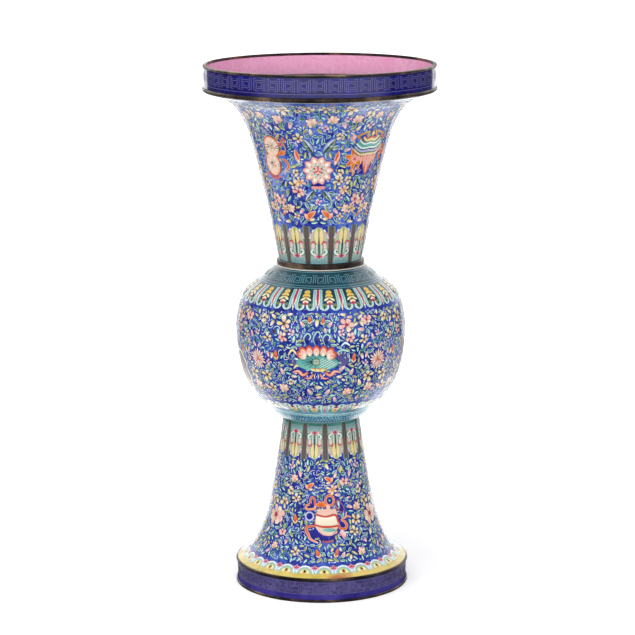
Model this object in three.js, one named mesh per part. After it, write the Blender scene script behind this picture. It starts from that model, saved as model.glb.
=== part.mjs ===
// Enamel beaker vase: a flaring trumpet neck above a swelling bulb and a spreading foot, raised from
// copper sheet in sections, enamelled inside and out and trimmed with bare metal wires.
// Millimetres, +Z up. The origin is the middle of the base, on the surface that the vase stands on.
import * as THREE from 'three';

// Height of each section, from the base up
const baseWireHeight = 2.2;
const footBandHeight = 14.0;
const footEdgeHeight = 2.6;
const footConeHeight = 111.6;
const waistCollarHeight = 10.6;
const bulbLowerHeight = 56.5;
const bulbUpperHeight = 51.3;
const neckRingHeight = 4.4;
const trumpetHeight = 126.8;
const mouthBeadHeight = 3.6;
const mouthBandHeight = 14.4;
const lipWireHeight = 2.0;

// Radii that set the outline
const footRadius = 66.4;
const footTopRadius = 28.9;
const collarFootRadius = 30.4;
const bulbFootRadius = 38.9;
const bulbRadius = 64.15;
const trumpetFootRadius = 31.7;
const mouthRadius = 88.2;

// How far each trim stands out past the enamelled wall beside it
const baseWireProud = 0.8;
const footBandWaist = 0.7;
const footEdgeProud = 1.4;
const neckRingProud = 1.6;
const bulbMouthProud = 2.5;
const mouthBeadProud = 3.0;
const mouthBandInset = 1.0;
const lipWireProud = 0.6;

// Thicknesses and fits
const shellWall = 2.2;
const sleeveWall = 1.4;
const floorThickness = 1.6;
const collarWall = 2.8;
const collarFlange = 1.6;
const baseWireDepth = 4.2;
const footEdgeDepth = 6.6;
const fitGap = 0.3;

// How far each joining sleeve reaches past the faces that it bridges
const neckSleeveUp = 13;
const neckSleeveDown = 10;
const waistSleeveDown = 12;

// Shape of each sweep: share of its height, and share of the way from its first radius to its last
const footConeSweep = [
  [0.039, 0.197], [0.103, 0.361], [0.228, 0.541], [0.349, 0.665], [0.581, 0.806], [0.824, 0.93],
];
const collarSweep = [[0.19, 0.353], [0.547, 0.729]];
const bulbLowerSweep = [[0.078, 0.29], [0.223, 0.558], [0.418, 0.782], [0.7, 0.939]];
const bulbUpperSweep = [[0.251, 0.028], [0.474, 0.119], [0.637, 0.279], [0.762, 0.553], [0.895, 0.826]];
const trumpetSweep = [
  [0.125, 0.053], [0.322, 0.144], [0.511, 0.25], [0.708, 0.371], [0.834, 0.482], [0.924, 0.633],
  [0.967, 0.792],
];

// Facets round each turned piece, and steps along the curves
const facets = 48;
const footConeSteps = 10;
const bulbSteps = 14;
const trumpetSteps = 12;
const footBandSteps = 2;
const collarSteps = 4;
const wireSteps = 4;

// Colours
const groundBlue = 0x3f50b4;
const cobaltBlue = 0x2c2a86;
const footBandBlue = 0x3a3a9c;
const collarTurquoise = 0x4b93a6;
const mouthPink = 0xd9a6bd;
const darkCopper = 0x5a3626;
const paleCopper = 0x9c5a3a;
const paintedEnamel = { roughness: 0.22, metalness: 0.0 };
const bareCopper = { roughness: 0.42, metalness: 0.9 };

// Level of each joint, counted up from the base
const footBandBase = baseWireHeight;
const footEdgeBase = footBandBase + footBandHeight;
const footConeBase = footEdgeBase + footEdgeHeight;
const waistCollarBase = footConeBase + footConeHeight;
const bulbBase = waistCollarBase + waistCollarHeight;
const bulbWidest = bulbBase + bulbLowerHeight;
const neckRingBase = bulbWidest + bulbUpperHeight;
const trumpetBase = neckRingBase + neckRingHeight;
const mouthBeadBase = trumpetBase + trumpetHeight;
const mouthBandBase = mouthBeadBase + mouthBeadHeight;
const lipWireBase = mouthBandBase + mouthBandHeight;

const vase = new THREE.Group();

const point = (radius, level) => new THREE.Vector2(radius, level);

// A closed section turned round the vertical axis, as one named piece.
function addTurned(name, section, colour, finish) {
  const geometry = new THREE.LatheGeometry(section, facets);
  geometry.rotateX(Math.PI / 2);
  const material = new THREE.MeshStandardMaterial({ color: colour, ...finish });
  const piece = new THREE.Mesh(geometry, material);
  piece.name = name;
  vase.add(piece);
}

// The points between two ends, at their shares of the way.
function sweepPoints(start, end, shares) {
  return shares.map(([up, out]) => point(
    start.x + out * (end.x - start.x),
    start.y + up * (end.y - start.y),
  ));
}

// A smooth line through points that run upwards.
function smoothLine(points, steps) {
  return new THREE.SplineCurve(points).getSpacedPoints(steps);
}

// Where a rising line crosses a level.
function crossing(below, above, level) {
  const share = (level - below.y) / (above.y - below.y);
  return point(below.x + share * (above.x - below.x), level);
}

// The inner face of a sheet wall: the outer line moved in by the wall, cut level at both ends.
function innerLine(outer, wall, bottom = outer[0].y, top = outer[outer.length - 1].y) {
  const beyond = (end, next) => end.clone().add(end.clone().sub(next).setLength(2 * wall));
  const long = [
    beyond(outer[0], outer[1]),
    ...outer,
    beyond(outer[outer.length - 1], outer[outer.length - 2]),
  ];
  const moved = long.map((at, i) => {
    const before = long[Math.max(i - 1, 0)];
    const after = long[Math.min(i + 1, long.length - 1)];
    const along = after.clone().sub(before).normalize();
    return point(at.x - wall * along.y, at.y + wall * along.x);
  });
  const inside = moved.filter((at) => at.y > bottom + wall / 4 && at.y < top - wall / 4);
  const first = moved.indexOf(inside[0]);
  const last = moved.indexOf(inside[inside.length - 1]);
  return [
    crossing(moved[first - 1], moved[first], bottom),
    ...inside,
    crossing(moved[last], moved[last + 1], top),
  ];
}

// A section from its outer and inner lines, closed on itself.
function closedSection(outer, inner) {
  return [...outer, ...inner.slice().reverse(), outer[0].clone()];
}

// A wire with a rounded outer face, flat where it is soldered to its neighbours.
function wireSection(innerRadius, outerRadius, base, height) {
  const round = height / 2;
  const outer = [];
  for (let i = 0; i <= wireSteps; i += 1) {
    const turn = Math.PI * (i / wireSteps - 0.5);
    outer.push(point(outerRadius - round + round * Math.cos(turn), base + round + round * Math.sin(turn)));
  }
  return closedSection(outer, [point(innerRadius, base), point(innerRadius, base + height)]);
}

// A plain tube between two levels.
function tubeSection(innerRadius, outerRadius, base, top) {
  return closedSection(
    [point(outerRadius, base), point(outerRadius, top)],
    [point(innerRadius, base), point(innerRadius, top)],
  );
}

// Base wire
const baseWireSection = wireSection(footRadius - baseWireDepth, footRadius, 0, baseWireHeight);
addTurned('foot_rim_wire', baseWireSection, darkCopper, bareCopper);

// Upright band of the foot, with a slight waist
const footBandRadius = footRadius - baseWireProud;
const footBandOuter = smoothLine(
  [
    point(footBandRadius, footBandBase),
    point(footBandRadius - footBandWaist, footBandBase + footBandHeight / 2),
    point(footBandRadius, footEdgeBase),
  ],
  footBandSteps,
);
const footBandSection = closedSection(footBandOuter, innerLine(footBandOuter, shellWall));
addTurned('foot_band', footBandSection, footBandBlue, paintedEnamel);

// Edge wire between the band and the cone
const footEdgeSection = wireSection(footRadius - footEdgeDepth, footRadius, footEdgeBase, footEdgeHeight);
addTurned('foot_edge_bead', footEdgeSection, darkCopper, bareCopper);

// Spreading cone of the foot
const footFlare = point(footRadius - footEdgeProud, footConeBase);
const footTop = point(footTopRadius, waistCollarBase);
const footConeOuter = smoothLine(
  [footFlare, ...sweepPoints(footFlare, footTop, footConeSweep), footTop],
  footConeSteps,
);
const footConeInner = innerLine(footConeOuter, shellWall);
addTurned('foot_cone', closedSection(footConeOuter, footConeInner), groundBlue, paintedEnamel);

// Waist collar, hollow and open to its bore, with the sleeve that lines it up with the foot
const waistBoreRadius = footTopRadius - shellWall - fitGap;
const collarFoot = point(collarFootRadius, waistCollarBase);
const collarTop = point(bulbFootRadius, bulbBase);
const collarOuter = smoothLine(
  [collarFoot, ...sweepPoints(collarFoot, collarTop, collarSweep), collarTop],
  collarSteps,
);
const lowerFlangeTop = waistCollarBase + collarFlange;
const upperFlangeBase = bulbBase - collarFlange;
const waistCollarSection = [
  ...collarOuter,
  point(waistBoreRadius, bulbBase),
  point(waistBoreRadius, upperFlangeBase),
  ...innerLine(collarOuter, collarWall, lowerFlangeTop, upperFlangeBase).reverse(),
  point(waistBoreRadius, lowerFlangeTop),
  point(waistBoreRadius, waistCollarBase),
  collarFoot.clone(),
];
addTurned('waist_collar', waistCollarSection, collarTurquoise, paintedEnamel);

const waistSleeveRadius = waistBoreRadius - fitGap;
const waistSleeveSection = tubeSection(
  waistSleeveRadius - sleeveWall,
  waistSleeveRadius,
  waistCollarBase - waistSleeveDown,
  bulbBase,
);
addTurned('waist_sleeve', waistSleeveSection, paleCopper, bareCopper);

// Bulb
const bulbFoot = point(bulbFootRadius, bulbBase);
const bulbWaist = point(bulbRadius, bulbWidest);
const bulbMouth = point(trumpetFootRadius + bulbMouthProud, neckRingBase);
const bulbOuter = smoothLine(
  [
    bulbFoot,
    ...sweepPoints(bulbFoot, bulbWaist, bulbLowerSweep),
    bulbWaist,
    ...sweepPoints(bulbWaist, bulbMouth, bulbUpperSweep),
    bulbMouth,
  ],
  bulbSteps,
);
const bulbInner = innerLine(bulbOuter, shellWall);
addTurned('bulb', closedSection(bulbOuter, bulbInner), groundBlue, paintedEnamel);

// Disc that closes the space for water, on the collar's upper flange
const floorRadius = bulbInner[0].x - fitGap;
const floorSection = [
  point(0, bulbBase),
  point(floorRadius, bulbBase),
  point(floorRadius, bulbBase + floorThickness),
  point(0, bulbBase + floorThickness),
];
addTurned('bulb_floor', floorSection, mouthPink, paintedEnamel);

// Ring between bulb and trumpet, with the sleeve that lines the three up
const neckBoreRadius = trumpetFootRadius - shellWall;
const neckRingSection = wireSection(
  neckBoreRadius,
  trumpetFootRadius + neckRingProud,
  neckRingBase,
  neckRingHeight,
);
addTurned('neck_ring', neckRingSection, darkCopper, bareCopper);

const neckSleeveRadius = neckBoreRadius - fitGap;
const neckSleeveSection = tubeSection(
  neckSleeveRadius - sleeveWall,
  neckSleeveRadius,
  neckRingBase - neckSleeveDown,
  trumpetBase + neckSleeveUp,
);
addTurned('neck_sleeve', neckSleeveSection, paleCopper, bareCopper);

// Trumpet: nearly straight above the ring, then sweeping out under the mouth
const trumpetFoot = point(trumpetFootRadius, trumpetBase);
const trumpetFlare = point(mouthRadius - mouthBeadProud, mouthBeadBase);
const trumpetOuter = smoothLine(
  [trumpetFoot, ...sweepPoints(trumpetFoot, trumpetFlare, trumpetSweep), trumpetFlare],
  trumpetSteps,
);
const trumpetInner = innerLine(trumpetOuter, shellWall);
addTurned('trumpet_neck', closedSection(trumpetOuter, trumpetInner), groundBlue, paintedEnamel);

// Bead on the flare, upright band on the bead, and lip wire on the band
const mouthSeatRadius = trumpetInner[trumpetInner.length - 1].x;
const mouthBeadSection = wireSection(mouthSeatRadius, mouthRadius, mouthBeadBase, mouthBeadHeight);
addTurned('mouth_bead', mouthBeadSection, darkCopper, bareCopper);

const mouthBandRadius = mouthRadius - mouthBandInset;
const mouthBoreRadius = mouthBandRadius - shellWall;
const mouthBandSection = tubeSection(mouthBoreRadius, mouthBandRadius, mouthBandBase, lipWireBase);
addTurned('mouth_band', mouthBandSection, cobaltBlue, paintedEnamel);

const lipWireSection = wireSection(
  mouthBoreRadius,
  mouthBandRadius + lipWireProud,
  lipWireBase,
  lipWireHeight,
);
addTurned('mouth_lip_wire', lipWireSection, darkCopper, bareCopper);

export default vase;
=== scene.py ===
import math
import random
import bpy
import bmesh
import numpy as np
from mathutils import Matrix, Vector


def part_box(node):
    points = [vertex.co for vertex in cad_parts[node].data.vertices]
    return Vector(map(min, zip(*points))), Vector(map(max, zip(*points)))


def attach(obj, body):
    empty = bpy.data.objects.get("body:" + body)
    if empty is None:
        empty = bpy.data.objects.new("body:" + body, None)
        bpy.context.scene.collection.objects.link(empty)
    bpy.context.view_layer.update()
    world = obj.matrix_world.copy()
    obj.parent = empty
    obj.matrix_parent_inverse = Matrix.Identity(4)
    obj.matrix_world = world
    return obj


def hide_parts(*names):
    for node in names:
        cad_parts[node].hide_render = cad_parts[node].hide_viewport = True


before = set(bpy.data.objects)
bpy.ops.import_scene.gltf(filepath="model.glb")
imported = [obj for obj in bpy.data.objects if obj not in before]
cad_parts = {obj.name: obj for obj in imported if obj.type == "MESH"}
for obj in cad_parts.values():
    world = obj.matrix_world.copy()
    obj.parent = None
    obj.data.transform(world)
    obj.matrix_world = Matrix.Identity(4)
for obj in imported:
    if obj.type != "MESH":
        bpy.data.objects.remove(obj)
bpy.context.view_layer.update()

scene = bpy.context.scene
scene.view_settings.view_transform = "Standard"
mapName = "OFBake"
fullTurn = 2 * math.pi

# Camera, in metres and degrees
cameraView = dict(distance=1.890, height=0.5876, pitch=11.41, roll=-0.245, lens=143.3, shift=-0.0051)


def addCamera(view):
    data = bpy.data.cameras.new("viewCamera")
    data.lens = view["lens"]
    data.sensor_width = 36
    data.shift_x = view["shift"]
    data.clip_end = 60
    camera = bpy.data.objects.new("viewCamera", data)
    scene.collection.objects.link(camera)
    tilt = Matrix.Rotation(math.radians(90 - view["pitch"]), 4, "X")
    roll = Matrix.Rotation(math.radians(view["roll"]), 4, "Z")
    camera.matrix_world = Matrix.Translation((0, -view["distance"], view["height"])) @ tilt @ roll
    scene.camera = camera


addCamera(cameraView)


# Shader maths: an expression on values adds its Math nodes
class Value:
    def __init__(self, tree, socket):
        self.tree = tree
        self.socket = socket

    def maths(self, operation, first, second):
        node = self.tree.nodes.new("ShaderNodeMath")
        node.operation = operation
        for socket, value in zip(node.inputs, (first, second)):
            feed(self.tree, socket, value)
        return Value(self.tree, node.outputs[0])

    def __add__(self, other):
        return self.maths("ADD", self, other)

    def __radd__(self, other):
        return self.maths("ADD", other, self)

    def __sub__(self, other):
        return self.maths("SUBTRACT", self, other)

    def __rsub__(self, other):
        return self.maths("SUBTRACT", other, self)

    def __mul__(self, other):
        return self.maths("MULTIPLY", self, other)

    def __gt__(self, other):
        return self.maths("GREATER_THAN", self, other)

    def __lt__(self, other):
        return self.maths("LESS_THAN", self, other)


def feed(tree, socket, value):
    if isinstance(value, Value):
        tree.links.new(value.socket, socket)
    else:
        socket.default_value = value


def linear(colour):
    parts = [c / 255 for c in colour]
    parts = [c / 12.92 if c <= 0.04045 else ((c + 0.055) / 1.055) ** 2.4 for c in parts]
    return (*parts, 1.0)


class Finish:
    def __init__(self, name, holder=None):
        self.block = holder or bpy.data.materials.new(name)
        self.block.use_nodes = True
        self.tree = self.block.node_tree

    def node(self, kind, settings, sockets, output=0):
        node = self.tree.nodes.new(kind)
        for key, value in settings.items():
            if key == "stops":
                while len(node.color_ramp.elements) < len(value):
                    node.color_ramp.elements.new(1.0)
                for stop, (place, colour) in zip(node.color_ramp.elements, value):
                    stop.position = place
                    stop.color = colour
            elif key == "blend":
                node.color_ramp.interpolation = value
            else:
                setattr(node, key, value)
        for key, value in sockets.items():
            feed(self.tree, node.inputs[key], value)
        return Value(self.tree, node.outputs[output])

    def mix(self, factor, first, second, how="MIX"):
        settings = dict(data_type="RGBA", blend_type=how)
        return self.node("ShaderNodeMix", settings, {0: factor, 6: first, 7: second}, 2)

    def ramp(self, factor, stops, blend="LINEAR"):
        return self.node("ShaderNodeValToRGB", dict(stops=stops, blend=blend), {0: factor})

    def fade(self, factor, low, high, start=0, end=1):
        return self.ramp(factor, [(place, (grey, grey, grey, 1))
            for place, grey in ((low, start), (high, end))])

    def between(self, value, low, high, start, end):
        return self.node("ShaderNodeMapRange", {}, {0: value, 1: low, 2: high, 3: start, 4: end})

    def axes(self, vector, names):
        return [self.node("ShaderNodeSeparateXYZ", {}, {"Vector": vector}, name) for name in names]

    def rays(self, *kinds):
        path = self.tree.nodes.new("ShaderNodeLightPath")
        return [Value(self.tree, path.outputs[kind]) for kind in kinds]

    def place(self, scale=(1, 1, 1)):
        at = self.node("ShaderNodeTexCoord", {}, {}, "Object")
        return self.node("ShaderNodeMapping", {}, {"Vector": at, "Scale": scale})

    def noise(self, scale, detail, stretch=(1, 1, 1)):
        sockets = {"Vector": self.place(stretch), "Scale": scale, "Detail": detail}
        return self.node("ShaderNodeTexNoise", {}, sockets)

    def level(self):
        return self.axes(self.node("ShaderNodeTexCoord", {}, {}, "Object"), "Z")[0]

    def surface(self, colour, rough, metal=0.0, **more):
        shader = self.tree.nodes["Principled BSDF"]
        feed(self.tree, shader.inputs["Base Color"], colour)
        feed(self.tree, shader.inputs["Roughness"], rough)
        shader.inputs["Metallic"].default_value = metal
        for key, value in more.items():
            feed(self.tree, shader.inputs[key.replace("_", " ")], value)
        return self.block


# Profile lines, in millimetres: radius and level
def smoothLine(points, steps):
    known = np.array(points, float)
    last = len(known) - 1
    line = [known[0]]
    for i in range(last):
        before, after = known[max(i - 1, 0)], known[min(i + 2, last)]
        start, end = known[i], known[i + 1]
        for t in np.linspace(0, 1, 41)[1:]:
            pull, push = (end - before) / 2, (after - start) / 2
            line.append((2 * start - 2 * end + pull + push) * t ** 3
                + (3 * end - 3 * start - 2 * pull - push) * t ** 2 + pull * t + start)
    line = np.array(line)
    along = np.concatenate([[0], np.cumsum(np.hypot(*np.diff(line, axis=0).T))])
    spots = np.linspace(0, along[-1], steps + 1)
    return np.stack([np.interp(spots, along, line[:, 0]), np.interp(spots, along, line[:, 1])], 1)


def sweep(start, end, shares):
    return [(start[0] + out * (end[0] - start[0]), start[1] + up * (end[1] - start[1]))
        for up, out in shares]


def innerLine(outer, wall, bottom, top):
    run = np.gradient(outer, axis=0)
    run /= np.hypot(*run.T)[:, None]
    moved = outer + wall * np.stack([-run[:, 1], run[:, 0]], 1)
    moved = np.vstack([moved[0] - run[0] * 2 * wall, moved, moved[-1] + run[-1] * 2 * wall])
    ends = [(float(np.interp(level, moved[:, 1], moved[:, 0])), level) for level in (bottom, top)]
    return [ends[0], *(tuple(p) for p in moved if bottom + wall / 4 < p[1] < top - wall / 4), ends[1]]


def nodeLevels(node):
    low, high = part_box(node)
    return low.z * 1000, high.z * 1000


def ripple(angle, level):
    # the slight waves that beating and firing leave in the sheet
    first = 0.045 * np.sin(9 * angle + 0.11 * level) + 0.04 * np.sin(0.17 * level + 1.3 - 14 * angle)
    return first + 0.035 * np.sin(23 * angle + 0.05 * level + 0.4) * np.sin(0.13 * level)


def read(items, key, width=1, kind=float):
    values = np.zeros(len(items) * width, np.float64 if kind is float else np.int32)
    items.foreach_get(key, values)
    return values.reshape(-1, width) if width > 1 else values


def turnedPiece(name, node, outer, inner, finishes, waves=1.0, steps=240, sectors=24):
    bm = bmesh.new()
    along = bm.verts.layers.float.new("along")
    section = [tuple(p) for p in outer] + [tuple(p) for p in inner][::-1]
    places = np.cumsum([0.0] + [math.dist(a, b) for a, b in zip(section, section[1:])])
    total = places[-1] + math.dist(section[-1], section[0])
    verts = []
    for (radius, level), place in zip(section, places):
        verts.append(bm.verts.new((0, -radius / 1000, level / 1000)))
        verts[-1][along] = place
    onAxis = min(p[0] for p in section) < 1e-6
    for pair in list(zip(verts, verts[1:])) + ([] if onAxis else [(verts[-1], verts[0])]):
        bm.edges.new(pair)
    bmesh.ops.spin(bm, geom=bm.verts[:] + bm.edges[:], cent=(0, 0, 0), axis=(0, 0, 1), dvec=(0, 0, 0),
        angle=fullTurn / sectors, steps=steps // sectors)
    mesh = bpy.data.meshes.new(name)
    bm.to_mesh(mesh)
    bm.clear()
    for _ in range(sectors):  # one sector is spun and laid round, which is far quicker than a full spin
        mesh.transform(Matrix.Rotation(fullTurn / sectors, 4, "Z"))
        bm.from_mesh(mesh)
    bmesh.ops.remove_doubles(bm, verts=bm.verts, dist=2e-6)
    bmesh.ops.recalc_face_normals(bm, faces=bm.faces)
    bm.to_mesh(mesh)
    bm.free()
    layShellMap(mesh, places, total, len(outer) if len(finishes) > 1 else None)
    co = read(mesh.vertices, "co", 3)
    reach = np.maximum(np.hypot(co[:, 0], co[:, 1]), 1e-9)
    swell = 1 + waves * ripple(np.arctan2(co[:, 0], -co[:, 1]), co[:, 2] * 1000) / 1000 / reach
    co[:, :2] *= np.where(reach > 1e-6, swell, 1)[:, None]
    mesh.vertices.foreach_set("co", co.ravel())
    mesh.shade_smooth()
    mesh.set_sharp_from_angle(angle=math.radians(38))
    addPiece(name, mesh, finishes, node)


def layShellMap(mesh, places, total, turnBack):
    # round the piece across the map, along its section up the map; past turnBack it has its inner finish
    co = read(mesh.vertices, "co", 3)
    corners = read(mesh.loops, "vertex_index", 1, int)
    starts = read(mesh.polygons, "loop_start", 1, int)
    counts = np.diff(np.append(starts, len(corners)))
    owner = np.repeat(np.arange(len(starts)), counts)
    middles = read(mesh.polygons, "center", 3)
    facing = np.arctan2(middles[:, 0], -middles[:, 1])[owner]
    at = co[corners]
    angle = np.where(np.hypot(at[:, 0], at[:, 1]) < 1e-6, facing, np.arctan2(at[:, 0], -at[:, 1]))
    angle -= fullTurn * np.round((angle - facing) / fullTurn)
    place = read(mesh.attributes["along"].data, "value")[corners]
    if turnBack:
        inside = np.add.reduceat(place, starts) / counts > places[turnBack]
        mesh.polygons.foreach_set("material_index", inside.astype(np.int32))
    lowest, highest = np.minimum.reduceat(place, starts), np.maximum.reduceat(place, starts)
    closes = (lowest < 1e-6) & (highest > places[-1] - 1e-3)
    place = np.where(closes[owner] & (place < 1e-6), total, place)
    layer = mesh.uv_layers.new(name=mapName)
    share = np.clip(angle / fullTurn + 0.5, 0, 1)
    layer.data.foreach_set("uv", np.stack([0.002 + 0.996 * share, 0.002 + 0.996 * place / total],
        1).ravel())


def addPiece(name, mesh, finishes, node=None):
    for finish in finishes:
        mesh.materials.append(finish)
    piece = bpy.data.objects.new(name, mesh)
    scene.collection.objects.link(piece)
    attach(piece, "root")
    if node:
        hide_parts(node)


def roundWire(innerRadius, outerRadius, base, top, steps=12):
    half = (top - base) / 2
    turns = [math.pi * (i / steps - 0.5) for i in range(steps + 1)]
    outer = [(outerRadius - half + half * math.cos(t), base + half + half * math.sin(t)) for t in turns]
    return outer, [(innerRadius, base), (innerRadius, top)]


# Finishes
def enamelGround(name, stops, blotch, rough=0.12, zones=(), mottle=330.0):
    finish = Finish(name)
    cloud = finish.noise(blotch, 3.0)
    shaded = lambda tints: finish.ramp(cloud, [(place, linear(tint)) for place, tint in tints])
    colour = shaded(stops)
    speck = finish.noise(mottle, 2.0)
    colour = finish.mix(finish.fade(speck, 0.5, 0.62) * 0.8, colour, linear(stops[0][1]))
    pale = finish.noise(mottle * 0.8, 1.0, (1, 1, 1.4))
    colour = finish.mix(finish.fade(pale, 0.54, 0.66) * 0.7, colour, linear(stops[-1][1]))
    level = finish.level()
    for low, high, tints in zones:  # bands of another colour, by their levels in millimetres
        colour = finish.mix((level > low / 1000) * (level < high / 1000), colour, shaded(tints))
    return finish.surface(colour, rough, IOR=1.45)


def bareMetal(name, dark, light, glint, rough=0.38):
    finish = Finish(name)
    cloud = finish.noise(55.0, 4.0)
    # the clouds mottle the copper from dark to light at random; their brightest stop, glint, is a painted
    # highlight in the colour, and the copper is smoother there
    colour = finish.ramp(cloud, [(0.35, linear(dark)), (0.55, linear(light)), (0.72, linear(glint))])
    spots = finish.noise(320.0, 2.0)
    colour = finish.mix(finish.fade(spots, 0.55, 0.7, 0, 0.7), colour, linear(dark))
    bump = finish.node("ShaderNodeBump", {}, {"Height": spots, "Strength": 0.15, "Distance": 0.0002})
    return finish.surface(colour, finish.fade(cloud, 0.3, 0.7, 0.55, rough), 0.75, Normal=bump)


# Each enamel's colours, at places along its clouding
blueStops = [(0.3, (32, 38, 118)), (0.46, (40, 54, 152)), (0.6, (50, 76, 172)), (0.74, (82, 104, 188))]
neckStops = [(0.3, (42, 50, 138)), (0.46, (56, 78, 178)), (0.6, (78, 108, 200)), (0.74, (118, 142, 216))]
bandStops = [(0.3, (20, 16, 72)), (0.5, (24, 20, 94)), (0.7, (30, 30, 126))]
footBandStops = [(0.3, (58, 52, 98)), (0.5, (76, 70, 118)), (0.7, (96, 90, 142))]
darkStrip = [(0.3, (40, 32, 112)), (0.7, (72, 62, 146))]
tealStops = [(0.3, (20, 48, 58)), (0.5, (26, 60, 72)), (0.7, (38, 78, 88))]
aquaStops = [(0.3, (70, 126, 150)), (0.5, (96, 156, 178)), (0.7, (130, 184, 198))]
yellowStops = [(0.3, (124, 138, 80)), (0.46, (208, 184, 84)), (0.56, (218, 194, 98)), (0.7, (188, 124, 80))]
pinkStops = [(0.28, (236, 170, 204)), (0.5, (242, 182, 214)), (0.72, (246, 194, 222))]
greenStops = [(0.3, (30, 84, 78)), (0.5, (46, 112, 102)), (0.7, (84, 150, 140))]
creamStops = [(0.3, (222, 214, 200)), (0.7, (246, 240, 228))]
collarStops = [(0.3, (82, 134, 160)), (0.5, (108, 164, 188)), (0.7, (148, 194, 208))]
counterStops = [(0.3, (196, 212, 214)), (0.7, (226, 232, 230))]

blueEnamel = enamelGround("blueEnamel", blueStops, 42.0,
    zones=[(0, 21.4, yellowStops), (127.6, 131, greenStops)])
bulbEnamel = enamelGround("bulbEnamel", blueStops, 42.0,
    zones=[(236.4, 248.4, tealStops), (120, 143, aquaStops), (248.4, 260, creamStops)])
neckEnamel = enamelGround("neckEnamel", neckStops, 42.0, zones=[(240, 260.5, aquaStops)])
bandEnamel = enamelGround("bandEnamel", bandStops, 60.0)
footBandEnamel = enamelGround("footBandEnamel", footBandStops, 60.0, zones=[(0, 6.4, darkStrip)])
collarEnamel = enamelGround("collarEnamel", collarStops, 70.0)
pinkEnamel = enamelGround("pinkEnamel", pinkStops, 26.0, 0.22)
counterEnamel = enamelGround("counterEnamel", counterStops, 30.0, 0.3)
darkCopper = bareMetal("darkCopper", (44, 38, 38), (90, 76, 70), (166, 140, 112))
plainCopper = bareMetal("plainCopper", (92, 54, 36), (150, 92, 62), (190, 124, 86), 0.32)


# Shells, in millimetres. Stations are a radius and a height above the shell's foot, None for its top.
# Between two stations a curve goes by shares of the way up and of the way to the next radius
meeting = dict(neck=31.7, waist=38.9, wall=2.2, gap=0.3, sleeveWall=1.4)
trumpetShell = dict(node="trumpet_neck", stations=[(meeting["neck"], 0), (85.2, None)], curves=[
    [(0.125, 0.053), (0.322, 0.144), (0.511, 0.25), (0.708, 0.371), (0.834, 0.482), (0.924, 0.633),
    (0.967, 0.792)]])
bulbShell = dict(node="bulb", curves=[
    [(0.078, 0.29), (0.223, 0.558), (0.418, 0.782), (0.7, 0.939)],
    [(0.251, 0.028), (0.474, 0.119), (0.637, 0.279), (0.762, 0.553), (0.895, 0.826)]],
    stations=[(meeting["waist"], 0), (64.15, 56.5), (meeting["neck"] + 2.5, None)])
footShell = dict(node="foot_cone", stations=[(65.0, 0), (28.9, None)], curves=[
    [(0.039, 0.197), (0.103, 0.361), (0.228, 0.541), (0.349, 0.665), (0.581, 0.806), (0.824, 0.93)]])
collarShell = dict(node="waist_collar", stations=[(30.4, 0), (meeting["waist"], None)],
    curves=[[(0.19, 0.353), (0.547, 0.729)]], wall=2.8, flange=1.6)
footBandShell = dict(node="foot_band", stations=[(65.6, 0), (64.9, 7.0), (65.6, None)], curves=[[], []])
mouthBandShell = dict(node="mouth_band", stations=[(87.2, 0), (87.2, None)], curves=[[]])
wires = dict(  # each wire's node, inner radius and outer radius
    footRimWire=("foot_rim_wire", 62.2, 66.4),
    footEdgeWire=("foot_edge_bead", 59.8, 66.4),
    neckRing=("neck_ring", meeting["neck"] - meeting["wall"], meeting["neck"] + 1.6),
    mouthBead=("mouth_bead", None, 88.2),  # None: the trumpet's own edge
    mouthLipWire=("mouth_lip_wire", 85.0, 87.8),
)


def outline(shell, steps):
    low, high = nodeLevels(shell["node"])
    stations = [(radius, high if up is None else low + up) for radius, up in shell["stations"]]
    points = stations[:1]
    for start, end, shares in zip(stations, stations[1:], shell["curves"]):
        points += [*sweep(start, end, shares), end]
    return smoothLine(points, steps)


def skin(name, shell, steps, finishes, waves=1.0):
    outer = outline(shell, steps)
    inner = innerLine(outer, meeting["wall"], *nodeLevels(shell["node"]))
    turnedPiece(name, shell["node"], outer, inner, finishes, waves)
    return inner


def buildShells():
    wall, gap = meeting["wall"], meeting["gap"]
    seat = skin("trumpet", trumpetShell, 64, [neckEnamel, pinkEnamel])[-1][0]
    floorRadius = skin("bulbShell", bulbShell, 64, [bulbEnamel, pinkEnamel])[0][0] - gap
    low, high = nodeLevels("bulb_floor")
    turnedPiece("bulbFloor", "bulb_floor", [(0, low), (floorRadius, low)], [(0, high), (floorRadius, high)],
        [pinkEnamel], 0)
    skin("footCone", footShell, 56, [blueEnamel, counterEnamel])
    outer = outline(collarShell, 20)
    low, high = nodeLevels(collarShell["node"])
    bore = footShell["stations"][-1][0] - wall - gap
    under, over = low + collarShell["flange"], high - collarShell["flange"]
    inner = [(bore, low), (bore, under), *innerLine(outer, collarShell["wall"], under, over), (bore, over),
        (bore, high)]
    turnedPiece("waistCollar", collarShell["node"], outer, inner, [collarEnamel, counterEnamel])
    for name, node, radius in (("waistSleeve", "waist_sleeve", bore - gap),
            ("neckSleeve", "neck_sleeve", meeting["neck"] - wall - gap)):
        low, high = nodeLevels(node)
        inside = radius - meeting["sleeveWall"]
        turnedPiece(name, node, [(radius, low), (radius, high)], [(inside, low), (inside, high)],
            [plainCopper], 0)
    skin("footBand", footBandShell, 12, [footBandEnamel, counterEnamel], 0.6)
    low, high = nodeLevels(mouthBandShell["node"])
    outer = outline(mouthBandShell, 8)
    bandBore = outer[0][0] - wall
    turnedPiece("mouthBand", mouthBandShell["node"], outer, [(bandBore, low), (bandBore, high)],
        [bandEnamel, pinkEnamel], 0.6)
    for name, (node, innerRadius, outerRadius) in wires.items():
        outer, inner = roundWire(innerRadius or seat, outerRadius, *nodeLevels(node))
        turnedPiece(name, node, outer, inner, [darkCopper], 0.4)
    print("shells and wires made")


buildShells()


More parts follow.
